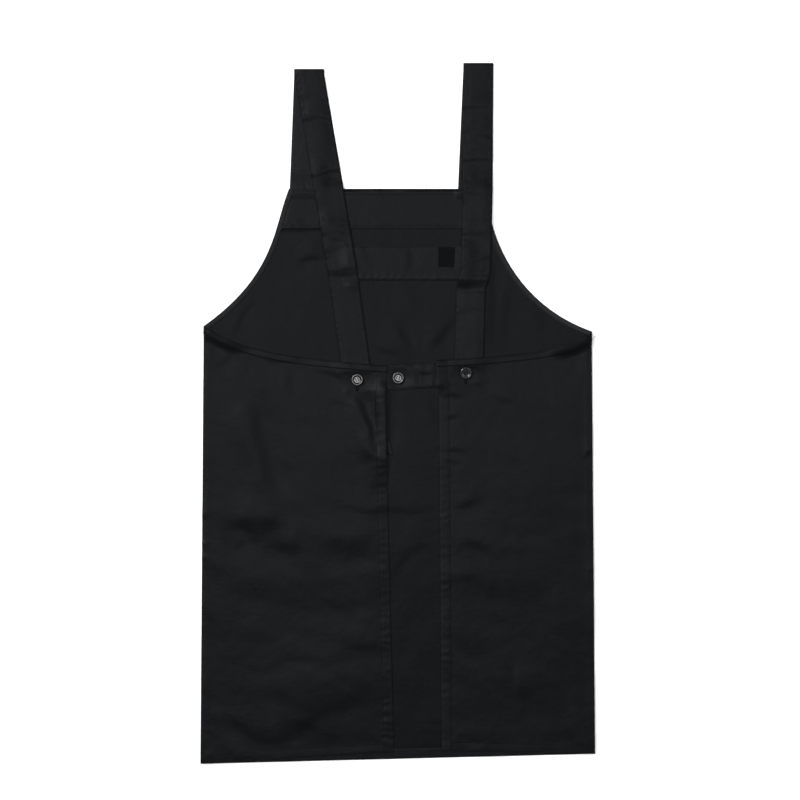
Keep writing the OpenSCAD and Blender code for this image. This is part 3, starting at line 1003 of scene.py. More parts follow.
def make_tab():
    shape = outline("waist_tab")
    corners = [shape[farthest(shape, d)] for d in ((-1, -0.5), (1, -0.5), (1, 0.5), (-1, 0.5))]
    a, b, c, d = corners
    columns, rows = int(np.linalg.norm(b - a) / 2.5), int(np.linalg.norm(d - a) / 2.5)
    x, y = coons(spaced([a, b], columns), spaced([b, c], rows), spaced([d, c], columns),
                 spaced([a, d], rows))
    relief = 0.5 + 0.2 * noise(80, 14)
    under = relief.copy()
    for path, height, dark, light in (
            ([(18, 86), (24, 64), (30, 32)], 2.8, 5, 11),
            ([(24, 72), (36, 60), (62, 61)], 1.7, 4, 9),
            ([(46, 86), (39, 66), (37, 36)], 1.6, 4, 10),
            ([(8, 86), (19, 64)], 1.6, 4, 9),
            ([(4, 43), (26, 38)], 1.2, 4, 8)):
        add_fold(relief, path, height, dark, light)
    for edge, inner, outer in ((spaced([a, b], 40), 0, 5), (spaced([d, c], 40), -5, 0)):
        add_puckers(relief, edge, 9, 0.5, inner, outer, 82)
    # It is pressed in along the right panel's edge
    add_groove(relief, spaced([(58.2, 84), (57.2, 36)], 20), 1.6, 2.2)
    # Between the panels its lower edge hangs a little clear of the front
    between = smooth((GX + 24) / 12) * smooth((70 - GX) / 12)
    raised = 1.2 * between * np.exp(-(nearest(spaced([a, b], 40), GX, GY)[0] / 7) ** 2)
    relief += raised
    under += raised
    side_slope = (c - d) / np.linalg.norm(c - d)
    shift = np.array([0.8, -1.4])
    # There it also stands off its lining, or its creases could not be pressed in
    under, over = held_down(under), held_down(relief - under + 0.1 + 1.3 * between)
    lining = lay("waist_tab_lining_cloth", x + shift[0], y + shift[1], under, LINING, lie=(1.5, 2))
    tab = lay("waist_tab_cloth", x, y, over, STRAP_TWILL, lie=(1.5, 1.5), wear=1.2)
    for made, node, slot in ((lining, "waist_tab_lining", "lining"), (tab, "waist_tab", "cloth")):
        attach(made, "garment")
        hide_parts(node)
    for edge, inset in ((spaced([a, b], 60), 2.0), (spaced([d, c], 60), -2.0)):
        add_stitches("stitches_tab", edge + inset * np.array([-side_slope[1], side_slope[0]]), seed=8)


make_tab()


# ---------------------------------------------------------------- cross band and straps

def back_line(side):
    """Middle line of a strap's run over the bib and on to the shoulder, from the waist up."""
    name = "strap_" + SIDES[side]
    over_bib = middle_line(name + "_back")
    upper = middle_line(name + "_upper")
    low, high = node_box(name + "_shoulder")
    below = over_bib[0] + 9.0 * (over_bib[0] - over_bib[1]) / np.linalg.norm(over_bib[0] - over_bib[1])
    return np.vstack([below, over_bib, upper[1:], [(low[0] + high[0]) / 2, high[1] - 2.0]])


BACK_LINE = (back_line(LEFT), back_line(RIGHT))


def strap_edge(side, outward, y):
    """X of a strap's edge at the heights y."""
    line = BACK_LINE[side]
    return np.interp(y, line[:, 1], line[:, 0]) + OUT[side] * (outward * STRAP_WIDTH / 2)


def make_band():
    low, high = node_box("cross_band")
    rows = np.linspace(low[1], high[1], int((high[1] - low[1]) / 2.0) + 1)
    left = strap_edge(LEFT, -1, rows) - 9
    right = strap_edge(RIGHT, -1, rows) + 9
    x = np.linspace(left, right, int((right[0] - left[0]) / 2.2), axis=1)
    y = np.repeat(rows[:, None], x.shape[1], 1)
    relief = 1.6 + 0.25 * noise(90, 18, 80, 1.5)
    add_pleat(relief, 0, [(20, 0), (60, 0.8), (84, -0.9), (88, -0.8), (98, 0)], 217, 262, 14)
    for path, height, dark, light in (
            ([(13, 256), (16, 236), (19, 208)], 1.7, 8, 16),
            ([(-54, 254), (-47, 240), (-42, 228)], 1.1, 6, 14),
            ([(2, 254), (5, 240)], 0.8, 4, 9)):
        add_fold(relief, path, height, dark, light, 0.3)
    bottom = spaced([(left[0] + 9, low[1]), (right[0] - 9, low[1])], 60)
    top = spaced([(left[-1] + 9, high[1]), (right[-1] - 9, high[1])], 60)
    add_puckers(relief, bottom, 12.5, 0.75, 0, 9, 92)
    add_puckers(relief, top, 15, 0.3, -6, 0, 94)
    made = lay("cross_band_cloth", x, y, relief, STRAP_TWILL, ply=STRAP, lie=(2, 4), wear=1.2)
    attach(made, "garment")
    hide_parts("cross_band")
    add_stitches("stitches_band", bottom + [0, 1.8], seed=11)
    add_stitches("stitches_band", top - [0, 1.8], seed=12)


# The sheet on the band is painted shade: a dark sheet where the band's sheen is darker
SHADE_PATCH_LOW = np.array([61.0, 219.5])      # corners of the patch on the band
SHADE_PATCH_HIGH = np.array([84.0, 249.0])


def make_band_shade_patch():
    """A dark, dull satin sheet sewn flat on the band beside the right strap: painted shade where the band's
    sheen is darker.
    """
    rows = np.linspace(SHADE_PATCH_LOW[1], SHADE_PATCH_HIGH[1], 16)
    columns = np.linspace(0, 1, 14)
    right = SHADE_PATCH_HIGH[0] + 0.06 * (rows - SHADE_PATCH_LOW[1])
    x = SHADE_PATCH_LOW[0] + (right - SHADE_PATCH_LOW[0])[:, None] * columns
    y = np.repeat(rows[:, None], len(columns), 1)
    relief = 0.05 + 0.06 * noise(96, 9)
    made = lay("band_painted_shade_satin", x, y, relief, SHADE_SATIN, ply=0.25, lie=(1.5, 1.5), wear=0.2)
    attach(made, "garment")
    for edge in ((61.8, 220, 61.8, 248.5), (83.6, 220, 85.0, 248.5)):
        add_stitches("stitches_band", spaced([edge[:2], edge[2:]], 20), seed=13)


# Folds of the straps' upper layers: path, height, dark slope, light slope
STRAP_FOLDS = (
    [
        ([(-150, 470), (-128, 476), (-108, 472)], 1.1, 6, 18),
        ([(-150, 432), (-120, 442), (-100, 437)], 2.1, 6, 22),
        ([(-134, 351), (-108, 361), (-84, 355)], 3.2, 7, 22),
        ([(-128, 344), (-110, 347), (-92, 342)], 1.3, 6, 14),
        ([(-114, 233), (-100, 243), (-84, 250)], 2.0, 11, 36),
        ([(-96, 257), (-80, 259), (-64, 255)], 1.5, 4, 12),
        ([(-92, 272), (-78, 268), (-70, 262)], 1.3, 6, 14),
    ],
    [
        ([(102, 515), (122, 517), (142, 515)], 1.1, 4, 10),
        ([(100, 456), (120, 460), (140, 457)], 1.6, 6, 18),
        ([(102, 422), (122, 425), (136, 421)], 1.5, 6, 16),
        ([(98, 404), (116, 408), (134, 403)], 1.5, 6, 16),
        ([(96, 373), (118, 380), (142, 376)], 3.1, 10, 26),
        ([(98, 325), (114, 329), (132, 326)], 1.3, 6, 16),
        ([(92, 216), (110, 226), (138, 232)], 2.0, 6, 14),
        ([(90, 208), (112, 213), (140, 216)], 1.5, 5, 10),
        ([(92, 150), (108, 156), (128, 150)], 0.8, 7, 18),
    ],
)

# Where the straps are pressed into flat faces: height by Y
STRAP_PLEATS = ([(176, 0), (190, 0.3), (193, -0.9), (200, -1.3), (218, 2.6), (226, 2.4), (296, 0)],
                [(166, 0), (180, 0.1), (183, -1.4), (200, 2.7), (206, 2.5), (270, 0)])


def make_strap(side):
    """One strap, in one piece: up over the bib, over the shoulder fold and back down its front."""
    name = "strap_" + SIDES[side]
    line = BACK_LINE[side]
    x, y = strap_grid(line)
    edge_gap = STRAP_WIDTH / 2 - np.abs(GX - np.interp(GY, line[:, 1], line[:, 0]))
    relief = 0.2 + 0.7 * smooth(edge_gap / 14) + 0.3 * noise(100 + side, 20, 15, 1.8)
    for path, height, dark, light in STRAP_FOLDS[side]:
        first, last = np.array(path[0]), np.array(path[-1])
        beyond = 0.45 * (last - first)
        add_fold(relief, [first - beyond, *path[1:-1], last + beyond], height, dark, light, 0.28)
    add_pleat(relief, 1, STRAP_PLEATS[side], -400, 400)
    for edge in (-1, 1):
        border = np.stack([strap_edge(side, edge, line[:, 1]), line[:, 1]], axis=1)
        inner, outer = (0, 6) if edge * OUT[side] > 0 else (-6, 0)
        add_puckers(relief, border, 11, 0.55, inner, outer, 104 + 2 * side + edge)
    bottom = settle(x, y, relief, STRAP, lie=(7, 5))
    front_x, front_y, front_bottom = strap_front[side]
    top_y = node_box(name + "_shoulder")[1][1]
    z_back, z_front = bottom[-1] + STRAP / 2, front_bottom[0] + STRAP / 2
    middle_z, radius = (z_back + z_front) / 2, (z_back - z_front) / 2
    start_y = y[-1][0]
    rows = [np.stack([x[j], y[j], bottom[j] + STRAP / 2], axis=1) for j in range(len(x))]
    normals = [np.tile([0.0, 0.0, 1.0], (x.shape[1], 1)) for _ in range(len(x))]
    reach = top_y - start_y - STRAP / 2
    for step in range(1, 6):
        turn = math.pi * step / 6
        rows.append(np.stack([x[-1], np.full(x.shape[1], start_y + reach * math.sin(turn)),
                              middle_z + radius * math.cos(turn)], axis=1))
        normals.append(np.tile([0.0, math.sin(turn), math.cos(turn)], (x.shape[1], 1)))
    for j in range(len(front_x)):
        rows.append(np.stack([front_x[j], front_y[j], front_bottom[j] + STRAP / 2], axis=1))
        normals.append(np.tile([0.0, 0.0, -1.0], (x.shape[1], 1)))
    middle, normal = np.array(rows), np.array(normals)
    half = np.full(middle.shape[:2], STRAP / 2)
    half[0] = half[-1] = half[:, 0] = half[:, -1] = 0.45 * STRAP / 2
    along = np.concatenate([[0], np.cumsum(np.linalg.norm(np.diff(middle[:, 0], axis=0), axis=1))])
    grain = np.dstack([np.repeat(middle[:1, :, 0] - middle[0, 0, 0], len(middle), 0),
                       np.repeat(along[:, None], middle.shape[1], 1)])
    wear = edge_wear(grain[..., 0], grain[..., 1])
    made = sheet_mesh(name + "_cloth", middle - normal * half[..., None], middle + normal * half[..., None],
                      STRAP_TWILL, grain, wear)
    bend_loop(made)
    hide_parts(name + "_back", name + "_upper", name + "_shoulder", name + "_front")
    for edge in (-1, 1):
        levels = np.linspace(line[0][1] + 9, line[-1][1], 130)
        seam = np.stack([strap_edge(side, edge, levels) - OUT[side] * edge * 2.0, levels], axis=1)
        add_stitches("stitches_" + name, seam, seed=14)


make_band()
make_band_shade_patch()
for side in (LEFT, RIGHT):
    make_strap(side)


# ---------------------------------------------------------------- cloth simulation

SETTLING_FRAMES = 26
COARSE = 3           # the simulated sheet has every third row and column
SWELL = 0.006        # how much too large for its seams it is


def buckled(x, y, seed):
    """Cloth simulation: the sheet, a little too large for its seams, settles on a table and buckles.

    Gives the height of its wrinkles on the height map.
    """
    j = np.unique(np.append(np.arange(0, x.shape[0], COARSE), x.shape[0] - 1))
    i = np.unique(np.append(np.arange(0, x.shape[1], COARSE), x.shape[1] - 1))
    cx, cy = x[np.ix_(j, i)], y[np.ix_(j, i)]
    start = 2.2 + 0.9 * sample(noise(seed, 38, -25, 1.8), cx, cy)
    points = np.dstack([cx, cy, start]).reshape(-1, 3)
    cloth = mesh_object("settling_cloth", points, grid_faces(*cx.shape), TWILL)
    pins = cloth.vertex_groups.new(name="seams")
    pins.add(rim_loop(*cx.shape), 1.0, "ADD")
    table_points = [(-900, -900, 0), (900, -900, 0), (900, 900, 0), (-900, 900, 0)]
    table = mesh_object("settling_table", table_points, [[0, 1, 2, 3]], TWILL)
    table.modifiers.new("table", "COLLISION")
    table.collision.thickness_outer = 0.001
    modifier = cloth.modifiers.new("cloth", "CLOTH")
    settings = modifier.settings
    settings.quality = 5
    settings.mass = 0.2
    settings.tension_stiffness = settings.compression_stiffness = 12
    settings.shear_stiffness = 4
    settings.bending_stiffness = 0.25
    settings.vertex_group_mass = "seams"
    settings.shrink_min = settings.shrink_max = -SWELL
    modifier.collision_settings.distance_min = 0.001
    modifier.point_cache.frame_start = 1
    modifier.point_cache.frame_end = SETTLING_FRAMES
    for frame_number in range(1, SETTLING_FRAMES + 1):
        bpy.context.scene.frame_set(frame_number)
    shown = cloth.evaluated_get(bpy.context.evaluated_depsgraph_get()).to_mesh()
    z = np.array([v.co.z for v in shown.vertices]).reshape(cx.shape) / MM
    for used in (cloth, table):
        bpy.data.objects.remove(used)
    bpy.context.scene.frame_set(1)
    z = np.clip(z - np.percentile(z, 5), 0, None)
    values, covered = on_map(cx, cy, z)
    return np.where(covered, values, 0.0)


# ---------------------------------------------------------------- back panels

def panel_patch(side):
    centre = spaced(CENTRE[side][::-1], 205)
    outer = spaced([HEM[side], UNDERARM[side]], 205)
    columns = int(np.linalg.norm(CENTRE[side][0] - UNDERARM[side]) / GRAIN)
    hem = spaced([HEM[side], CENTRE[side][2]], columns)
    waist = spaced(WAIST[side], columns)
    if side == LEFT:
        return coons(hem, centre, waist, outer)
    return coons(hem[::-1], outer, waist[::-1], centre)


# Folds of the back panels: path, height, dark slope, light slope
PANEL_FOLDS = (
    [
        ([(-226, 34), (-206, -48), (-180, -138)], 8.5, 27, 32, 0.3),
        ([(-262, -160), (-212, -170), (-156, -160)], 8.0, 42, 40, 0.35),
        ([(-246, -168), (-224, -194)], 2.0, 12, 22),
        ([(-210, -192), (-172, -204), (-134, -210)], 5.0, 36, 34, 0.4),
        ([(-122, -196), (-76, -202), (-20, -198)], 4.0, 30, 36, 0.4),
        ([(-60, 34), (-46, -8), (-29, -74)], 8.0, 13, 20, 0.2),
        ([(-210, -504), (-140, -470), (-76, -440), (-6, -400)], 7.2, 40, 56),
        ([(-264, -438), (-242, -464), (-206, -494)], 2.6, 16, 30),
        ([(-240, -478), (-206, -490), (-160, -500)], 3.2, 26, 32),
        ([(-140, 70), (-98, 58), (-60, 40)], 2.2, 9, 20),
        ([(-114, 34), (-84, 14), (-54, 4)], 1.8, 9, 20),
        ([(-243, 94), (-260, 80), (-280, 66)], 1.3, 6, 16),
        ([(-163, 72), (-162, 48), (-159, 22)], 2.0, 8, 14, 0.4),
        ([(-228, 92), (-227, 74), (-224, 52)], 1.2, 14, 24),
        ([(-156, 2), (-132, -14), (-112, -30)], 1.2, 14, 26),
        ([(-250, -250), (-206, -262), (-170, -254)], 1.2, 22, 34),
        ([(-140, -268), (-92, -284), (-36, -292)], 1.4, 20, 34),
        ([(-90, -336), (-60, -352), (-22, -352)], 1.2, 14, 30),
        ([(-284, -184), (-268, -200), (-254, -226)], 1.4, 9, 18),
        ([(-212, 87), (-184, 79), (-150, 74)], 2.2, 6, 10, 0.2),
    ],
    [
        ([(78, -146), (106, -137), (136, -124)], 2.4, 13, 24),
        ([(84, -206), (118, -198), (162, -222)], 2.4, 12, 28),
        ([(82, -240), (102, -246), (124, -246)], 1.4, 10, 20),
        ([(74, -338), (96, -366), (120, -400)], 1.8, 14, 26),
        ([(84, -480), (106, -486), (132, -498)], 1.4, 8, 16),
        ([(76, -446), (90, -474), (110, -504)], 1.4, 11, 20),
        ([(228, -458), (262, -484), (296, -500)], 3.0, 26, 36),
        ([(296, -30), (288, -52), (277, -80)], 1.8, 5, 14),
        ([(62, 22), (84, 25), (104, 19)], 2.0, 5, 11),
        ([(62, -7), (82, -5), (100, -11)], 1.7, 5, 11),
        ([(62, -58), (84, -56), (110, -62)], 1.6, 5, 12),
        ([(62, -73), (84, -72), (102, -75)], 1.4, 5, 11),
        ([(128, 34), (150, 26), (176, 10)], 1.2, 8, 18),
        ([(150, 24), (166, 16), (184, 8)], 0.7, 8, 20),
        ([(176, -178), (184, -196), (196, -206)], 1.0, 12, 22),
        ([(150, -340), (176, -360), (190, -390)], 1.2, 18, 34),
    ],
)


def crease(relief, path, height, bright, dark):
    """A ridge along a path: a steep slope towards the light and a long one away from it."""
    line = curve(path)
    here = region(line, bright + dark)
    signed, along = nearest(line, GX[here], GY[here])
    direction = line[-1] - line[0]
    left = np.array([-direction[1], direction[0]])
    s = signed * (1 if left @ SHADE > 0 else -1)
    total = lengths(line)[-1]
    fade = smooth(along / (0.4 * total)) * smooth((total - along) / (0.4 * total))
    bright, dark = bright * (0.4 + 0.6 * fade), dark * (0.4 + 0.6 * fade)
    relief[here] += height * np.where(s < 0, smooth(1 + s / bright), smooth(1 - s / dark)) * fade


def gathers_left(y):
    """How strongly the left centre edge is gathered at each height."""
    return 0.4 + 0.6 * smooth((-250 - y) / 120)


def gathers_right(y):
    """How strongly the right centre edge is gathered at each height."""
    return 0.2 + 0.5 * smooth((-60 - y) / 90) * smooth((y + 450) / 80)


def panel_relief(side, x, y):
    busy = 0.5 + 0.5 * smooth((-90 - GY) / 120)
    from_waist = np.abs(nearest(WAIST[side], GX, GY)[0]) / 90
    from_edges = np.abs(nearest(np.vstack([CENTRE[side], [HEM[side], UNDERARM[side]]]), GX, GY)[0]) / 34
    relief = 0.4 + 2.0 * smooth(np.minimum(from_waist, from_edges))
    relief += (0.5, 0.32)[side] * busy * noise(120 + side, 20, -12, 2.2)
    relief += (0.9, 0.7)[side] * busy * noise(124 + side, 50, -35, 1.5)
    relief += 0.22 * busy * blurred(buckled(x, y, 130 + side), 3.5)
    for fold in PANEL_FOLDS[side]:
        add_fold(relief, *fold)
    add_fold(relief, PACKING_CREASE, 1.1, 6, 22)
    centre = spaced(CENTRE[side], 160)
    inward = 1 if side == RIGHT else -1
    if side == LEFT:
        crease(relief, [(-210, -404), (-142, -394), (-76, -408)], 1.5, 26, 60)
        crease(relief, [(-160, -504), (-96, -474), (-26, -446)], 2.6, 30, 44)
        add_puckers(relief, centre, 12, 1.4, -14, -1, 140, gathers_left)
        signed, _ = nearest(centre, GX, GY)
        raised = smooth((60 - GY) / 30) * smooth((GY + 120) / 70)
        relief += 7.5 * np.exp(-(signed / 18) ** 2) * raised
        notches = [(-292, -152), (-292, -196), (-292, -216)]
    else:
        crease(relief, [(178, -368), (181, -404), (185, -438)], 1.8, 7, 38)
        add_puckers(relief, centre, 12, 1.1, 1, 13, 142, gathers_right)
        notches = [(292, -54), (293, -232)]
        signed, _ = nearest(centre, GX, GY)
        relief += 1.6 * np.exp(-(signed / 7) ** 2) * smooth((GY - 30) / 14)
    for middle in notches:
        add_bump(relief, middle, (7, 3.5), 1.4, 20)
    facing = beside(centre, inward * 15.5)
    add_groove(relief, facing, 0.35)
    hem = spaced([HEM[side], CENTRE[side][2]], 80)
    above = np.array([0, 13.6])
    add_groove(relief, hem + above, 0.35)
    add_puckers(relief, hem, 14, 0.2, 0 if side == LEFT else -15, 15 if side == LEFT else 0, 146 + side)
    relief = held_down(relief)
    # the waist edge is rolled up beside the underarm
    inside, along = nearest(WAIST[side], GX, GY)
    rolled = smooth(along / 12) * smooth((74 - along) / 30)
    relief += 7.5 * smooth(1 - np.abs(inside) / 19) * rolled
    return relief


def make_turned_edges(side):
    """The facing turned under along the centre edge, and the turned hem."""
    inward = 1 if side == RIGHT else -1
    name = SIDES[side]
    knee = CENTRE[side][1] - [0, 4]
    centre = spaced([knee, CENTRE[side][2] + [0, 1.0]], 180)
    near, far = inward * 0.6, inward * 13.4
    x, y, grain = ribbon(centre, min(near, far), max(near, far), 2.2)
    relief = 0.15 + 0.2 * noise(150 + side, 12)
    placket = lay("flap_placket_" + name + "_cloth", x, y, relief, LINING, lie=(2, 4), grain=grain)
    bend_flap(placket, side)
    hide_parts("flap_placket_" + name)
    hem = spaced([HEM[side] + [inward * -10.5, 0.6], CENTRE[side][2] + [inward * 14.5, 0.6]], 120)
    wide = 13.6 if side == LEFT else -13.6
    x, y, grain = ribbon(hem, min(0, wide), max(0, wide), 2.2)
    turned = lay("back_hem_" + name + "_cloth", x, y, relief, TWILL, lie=(2, 4), grain=grain)
    bend_flap(turned, side)
    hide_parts("back_hem_" + name, "flap_hem_" + name)
    return [placket, turned]


def make_panel(side):
    name = SIDES[side]
    x, y = panel_patch(side)
    relief = panel_relief(side, x, y)
    turned = make_turned_edges(side)
    made = lay("back_" + name + "_cloth", x, y, relief, TWILL, lie=(3, 7))
    bend_flap(made, side)
    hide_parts("back_panel_" + name, "back_flap_" + name)
    inward = 1 if side == RIGHT else -1
    centre = spaced([CENTRE[side][0] - [0, 12], CENTRE[side][1], CENTRE[side][2]], 180)
    add_stitches("stitches_back_" + name, beside(centre, inward * 14.6), seed=21)
    hem = spaced([HEM[side], CENTRE[side][2]], 90)
    add_stitches("stitches_back_" + name, hem + [0, 12.8], seed=22)


def make_waist_binding(side):
    name = "waist_binding_" + SIDES[side]
    path = WAIST[side]
    width = (-10.5, 10.5)[side]
    made = make_binding(name + "_tape", path, width, name, 160 + side, side, WAIST_BINDING, lie=(3, 4))
    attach(made, "garment")
    for inset in (1.6, 9.2):
        offset = (-inset, inset)[side]
        add_stitches("stitches_waist", spaced(beside(path, offset), 90), seed=23)


def make_peeking_corner():
    """A corner of the left panel's facing that sticks out beside its centre edge."""
    corners = [(-27, -65), (-8.4, -61), (-12, -43), (-27, -40)]
    a, b, c, d = corners
    x, y = coons(spaced([a, b], 14), spaced([b, c], 14), spaced([d, c], 14), spaced([a, d], 14))
    made = lay("peeking_corner_cloth", x, y, 0.4 + 1.6 * smooth((GX + 19) / 9), LINING, lie=(1.5, 1.5))
    bend_flap(made, LEFT)


make_peeking_corner()
for side in (LEFT, RIGHT):
    make_panel(side)
for side in (LEFT, RIGHT):
    make_waist_binding(side)


# ---------------------------------------------------------------- buttons

def lathe(profile):
    """A solid turned about Z from (radius, height) points that start and end on the axis."""
    segments = 72
    points, faces = [(0.0, 0.0, profile[0][1])], []
    for r, z in profile[1:-1]:
        for k in range(segments):
            turn = 2 * math.pi * k / segments
            points.append((r * math.cos(turn), r * math.sin(turn), z))
    points.append((0.0, 0.0, profile[-1][1]))
    last = len(points) - 1
    rings = len(profile) - 2
    for k in range(segments):
        n = (k + 1) % segments
        faces.append([0, 1 + n, 1 + k])
        for ring in range(rings - 1):
            a, b = 1 + ring * segments + k, 1 + ring * segments + n
            faces.append([a, b, b + segments, a + segments])
        faces.append([last, 1 + (rings - 1) * segments + k, 1 + (rings - 1) * segments + n])
    return points, faces


def face_outwards(made):
    """Turns every face of a closed mesh outwards."""
    work = bmesh.new()
    work.from_mesh(made.data)
    bmesh.ops.recalc_face_normals(work, faces=work.faces)
    work.to_mesh(made.data)
    work.free()


def applied(made):
    """The object with its modifiers made real."""
    shown = made.evaluated_get(bpy.context.evaluated_depsgraph_get())
    mesh = bpy.data.meshes.new_from_object(shown)
    made.modifiers.clear()
    made.data = mesh
    return made


# Which way each button leans, in degrees about X and Y, and how it is turned about its shank
BUTTON_LEAN = {"left": (0.6, -1.6, 20), "middle": (0.4, -1.0, -12), "right": (6.5, 3.0, 35)}
HOLE_RADIUS = 0.95
HOLE_OUT = 1.8       # from the button's middle to a hole's middle, along X and along Y


def placed(points, k):
    """Points of a button's own frame, leaned and put in place."""
    lean_x, lean_y, turn = (math.radians(v) for v in BUTTON_LEAN[k])
    points = np.asarray(points, float)
    c, s = math.cos(turn), math.sin(turn)
    points = points @ np.array([[c, s, 0], [-s, c, 0], [0, 0, 1]])
    c, s = math.cos(lean_x), math.sin(lean_x)
    points = points @ np.array([[1, 0, 0], [0, c, s], [0, -s, c]])
    c, s = math.cos(lean_y), math.sin(lean_y)
    points = points @ np.array([[c, 0, -s], [0, 1, 0], [s, 0, c]])
    return points + [*BUTTON_AT[k], button_box[k][0][2]]


def make_button(k):
    radius = (button_box[k][1][0] - button_box[k][0][0]) / 2
    thick = button_box[k][1][2] - button_box[k][0][2]
    rim, dish = 0.5 * thick, 0.62 * thick
    profile = [(0, 0.25), (radius - 3.2, 0.1), (radius - 1.6, 0.0)]
    for step in range(0, 9):
        turn = -math.pi / 2 + math.pi * step / 8
        profile.append((radius - rim * 0.9 + rim * 0.9 * math.cos(turn), rim + rim * math.sin(turn)))
    profile += [(radius - 2.1, thick * 0.99), (radius - 2.6, thick * 0.94), (radius - 3.0, thick * 0.84),
                (radius - 3.3, dish + 0.25), (radius - 3.8, dish + 0.08), (radius - 4.8, dish),
                (1.0, dish - 0.06), (0, dish - 0.06)]
    points, faces = lathe(profile)
    body = mesh_object("button_" + k + "_shell", points, faces, PLASTIC)
    parts = []
    for x in (-1, 1):
        for y in (-1, 1):
            ring = [(x * HOLE_OUT, y * HOLE_OUT, z) for z in (-1.0, thick + 1.0)]
            parts.append(tube(ring, [HOLE_RADIUS] * 2, 28))
    drill = joined("drill", parts, PLASTIC)
    for solid in (body, drill):
        face_outwards(solid)
    cut = body.modifiers.new("holes", "BOOLEAN")
    cut.operation, cut.object, cut.solver = "DIFFERENCE", drill, "EXACT"
    applied(body)
    bpy.data.objects.remove(drill)
    points = placed([np.array(v.co) / MM for v in body.data.vertices], k)
    body.data.vertices.foreach_set("co", (points * MM).astype(np.float32).ravel())
    body.data.polygons.foreach_set("use_smooth", [True] * len(body.data.polygons))
    body.data.set_sharp_from_angle(angle=math.radians(38))
    body.data.update()
    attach(body, "button_" + k)
    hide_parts("button_" + k)

    parts, rng = [], np.random.default_rng(300 + BUTTONS.index(k))
    for x in (-1, 1):
        for strand in range(3):
            off = (strand - 1.0) * 0.36 + rng.normal(0, 0.05)
            path = []
            for t in np.linspace(0, 1, 13):
                y = (2 * t - 1) * HOLE_OUT
                rise = dish + 0.05 + 0.45 * math.sin(math.pi * t) + 0.12 * (strand % 2)
                if t in (0, 1):
                    rise = dish - 1.2
                path.append((x * HOLE_OUT + off * (0.7 + 0.3 * math.sin(math.pi * t)), y, rise))
            points, faces = tube(path, [0.19] * len(path), 6)
            parts.append((placed(points, k), faces))
    thread = joined("button_thread_" + k + "_strands", parts, THREAD)
    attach(thread, "button_" + k)
    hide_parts("button_thread_" + k)


def make_shank(k):
    """Thread wound round itself between the tab and the button."""
    low, high = node_box("button_shank_" + k)
    turns, r = 7, (high[0] - low[0]) / 2 - 0.15
    bottom = low[2] - 0.6
    path = []
    for t in np.linspace(0, 1, turns * 14):
        turn = 2 * math.pi * turns * t
        path.append((BUTTON_AT[k][0] + r * math.cos(turn), BUTTON_AT[k][1] + r * math.sin(turn),
                     bottom + 0.3 + (high[2] - bottom - 0.6) * t))
    core = [(BUTTON_AT[k][0], BUTTON_AT[k][1], z) for z in (bottom, (bottom + high[2]) / 2, high[2])]
    parts = [tube(path, [0.24] * len(path), 6), tube(core, [r, r * 0.85, r], 12)]
    made = joined("button_shank_" + k + "_winding", parts, THREAD)
    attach(made, "garment")
    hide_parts("button_shank_" + k)


def make_buttonhole(side):
    """Close zigzag stitches along both lips of the slit, and a bar at each end."""
    name = "buttonhole_" + SIDES[side]
    low, high = node_box(name)
    middle = (low + high) / 2
    half = (high[1] - low[1]) / 2 - 1.8
    parts, rng = [], np.random.default_rng(400 + side)

    def bar(a, b):
        a, b = np.array(a, float), np.array(b, float)
        za, zb = sample(terrain, [a[0], b[0]], [a[1], b[1]])
        m = (a + b) / 2
        path = [(*a, za - 0.1), (*m, (za + zb) / 2 + 0.32), (*b, zb - 0.1)]
        parts.append(tube(path, [0.16, 0.26, 0.16], 5))

    for y in np.arange(-half, half, 0.62):
        for lip in (-1, 1):
            inner = 0.35 + rng.normal(0, 0.05)
            outer = 2.5 + rng.normal(0, 0.12)
            bar((middle[0] + lip * inner, middle[1] + y), (middle[0] + lip * outer, middle[1] + y + 0.3))
    for end in (-1, 1):
        for step in range(4):
            y = middle[1] + end * (half + 0.3 + 0.45 * step)
            bar((middle[0] - 2.5, y), (middle[0] + 2.5, y + rng.normal(0, 0.06)))
    made = joined(name + "_stitches", parts, THREAD)
    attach(made, "garment")
    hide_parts(name)


for k in BUTTONS:
    make_button(k)
    make_shank(k)
for side in (LEFT, RIGHT):
    make_buttonhole(side)

for group in ("stitches_bib", "stitches_front_hem", "stitches_tab", "stitches_band", "stitches_waist"):
    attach(build_stitches(group), "garment")
for side in (LEFT, RIGHT):
    bend_flap(build_stitches("stitches_back_" + SIDES[side]), side)
    bend_loop(build_stitches("stitches_strap_" + SIDES[side]))


# ---------------------------------------------------------------- floor, lights and camera

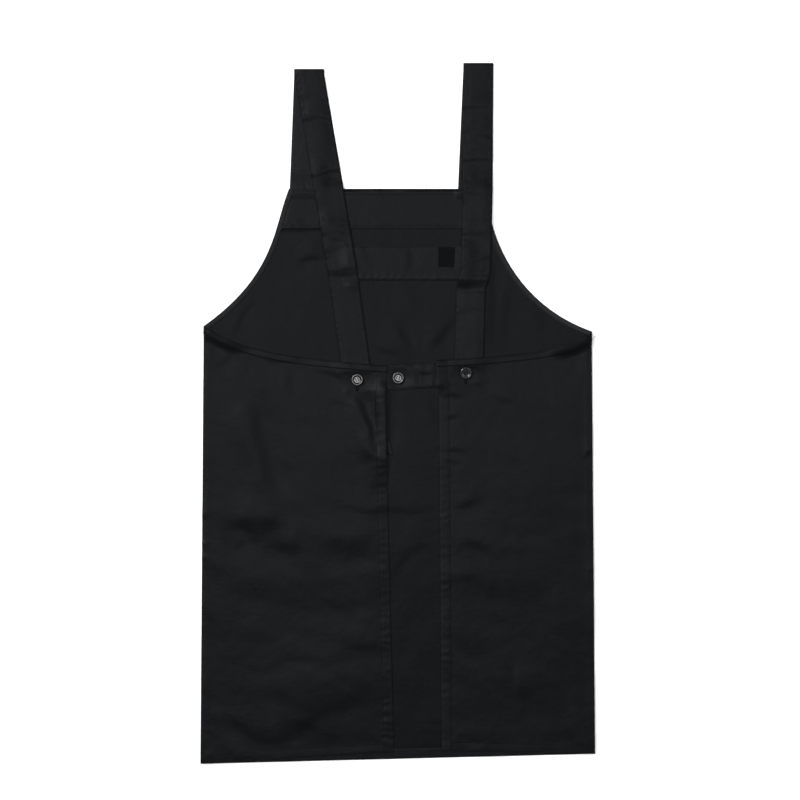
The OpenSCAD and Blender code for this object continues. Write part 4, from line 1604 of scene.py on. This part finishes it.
def make_floor():
    made, tree = new_material("white_paper")
    place = add_node(tree, "ShaderNodeTexCoord").outputs["Object"]
    tooth = noise_node(tree, place, 300.0, 3.0, 0.6)
    colour = mix_colours(tree, tooth, (0.9, 0.9, 0.9), (0.92, 0.92, 0.92))
    normal = bump_node(tree, tooth, 0.0001, 0.2)
    shader(tree, colour, spread(tree, tooth, 0.0, 1.0, 0.8, 0.9), normal, Specular_IOR_Level=0.1)
    reach = 40000
    points = [(-reach, -reach, -0.5), (reach, -reach, -0.5), (reach, reach, -0.5), (-reach, reach, -0.5)]
    mesh_object("paper_floor", points, [[0, 1, 2, 3]], made)


def aim(thing, target):
    way = Vector(target) - thing.location
    thing.rotation_mode = "QUATERNION"
    thing.rotation_quaternion = way.to_track_quat("-Z", "Y")


def add_light(name, place, target, size, power):
    """A square softbox."""
    data = bpy.data.lights.new(name, "AREA")
    data.shape = "RECTANGLE"
    data.size = data.size_y = size
    data.energy = power
    made = bpy.data.objects.new(name, data)
    made.location = place
    bpy.context.scene.collection.objects.link(made)
    aim(made, target)


CENTRE_POINT = (cad_low + cad_high) / 2


def make_lights():
    world = bpy.data.worlds.new("studio")
    world.use_nodes = True
    background = world.node_tree.nodes["Background"]
    background.inputs["Color"].default_value = (1.0, 1.0, 1.0, 1)
    background.inputs["Strength"].default_value = 0.37
    bpy.context.scene.world = world
    target = tuple(CENTRE_POINT)
    add_light("key_softbox", (-3.6, 2.5, 6.2), target, 2.6, 640)
    add_light("side_softbox", (1.9, 0.5, 3.5), target, 1.6, 42)
    add_light("top_softbox", (-0.2, 0.1, 3.4), target, 0.8, 32)


def make_camera():
    """Straight above, a little right of and above the middle, with the part's top upwards."""
    data = bpy.data.cameras.new("camera")
    data.sensor_width = 36
    data.lens = 85
    seen = 1200 * MM
    distance = seen * data.lens / data.sensor_width
    made = bpy.data.objects.new("camera", data)
    aside, ahead = 3.4 * MM, 19.9 * MM
    made.location = (CENTRE_POINT.x + aside, CENTRE_POINT.y + ahead, distance + 4 * MM)
    made.rotation_euler = (0, 0, 0)
    data.clip_start = 0.05
    data.clip_end = 50
    bpy.context.scene.collection.objects.link(made)
    bpy.context.scene.camera = made


bpy.context.scene.view_settings.view_transform = "Standard"
make_floor()
make_lights()
make_camera()
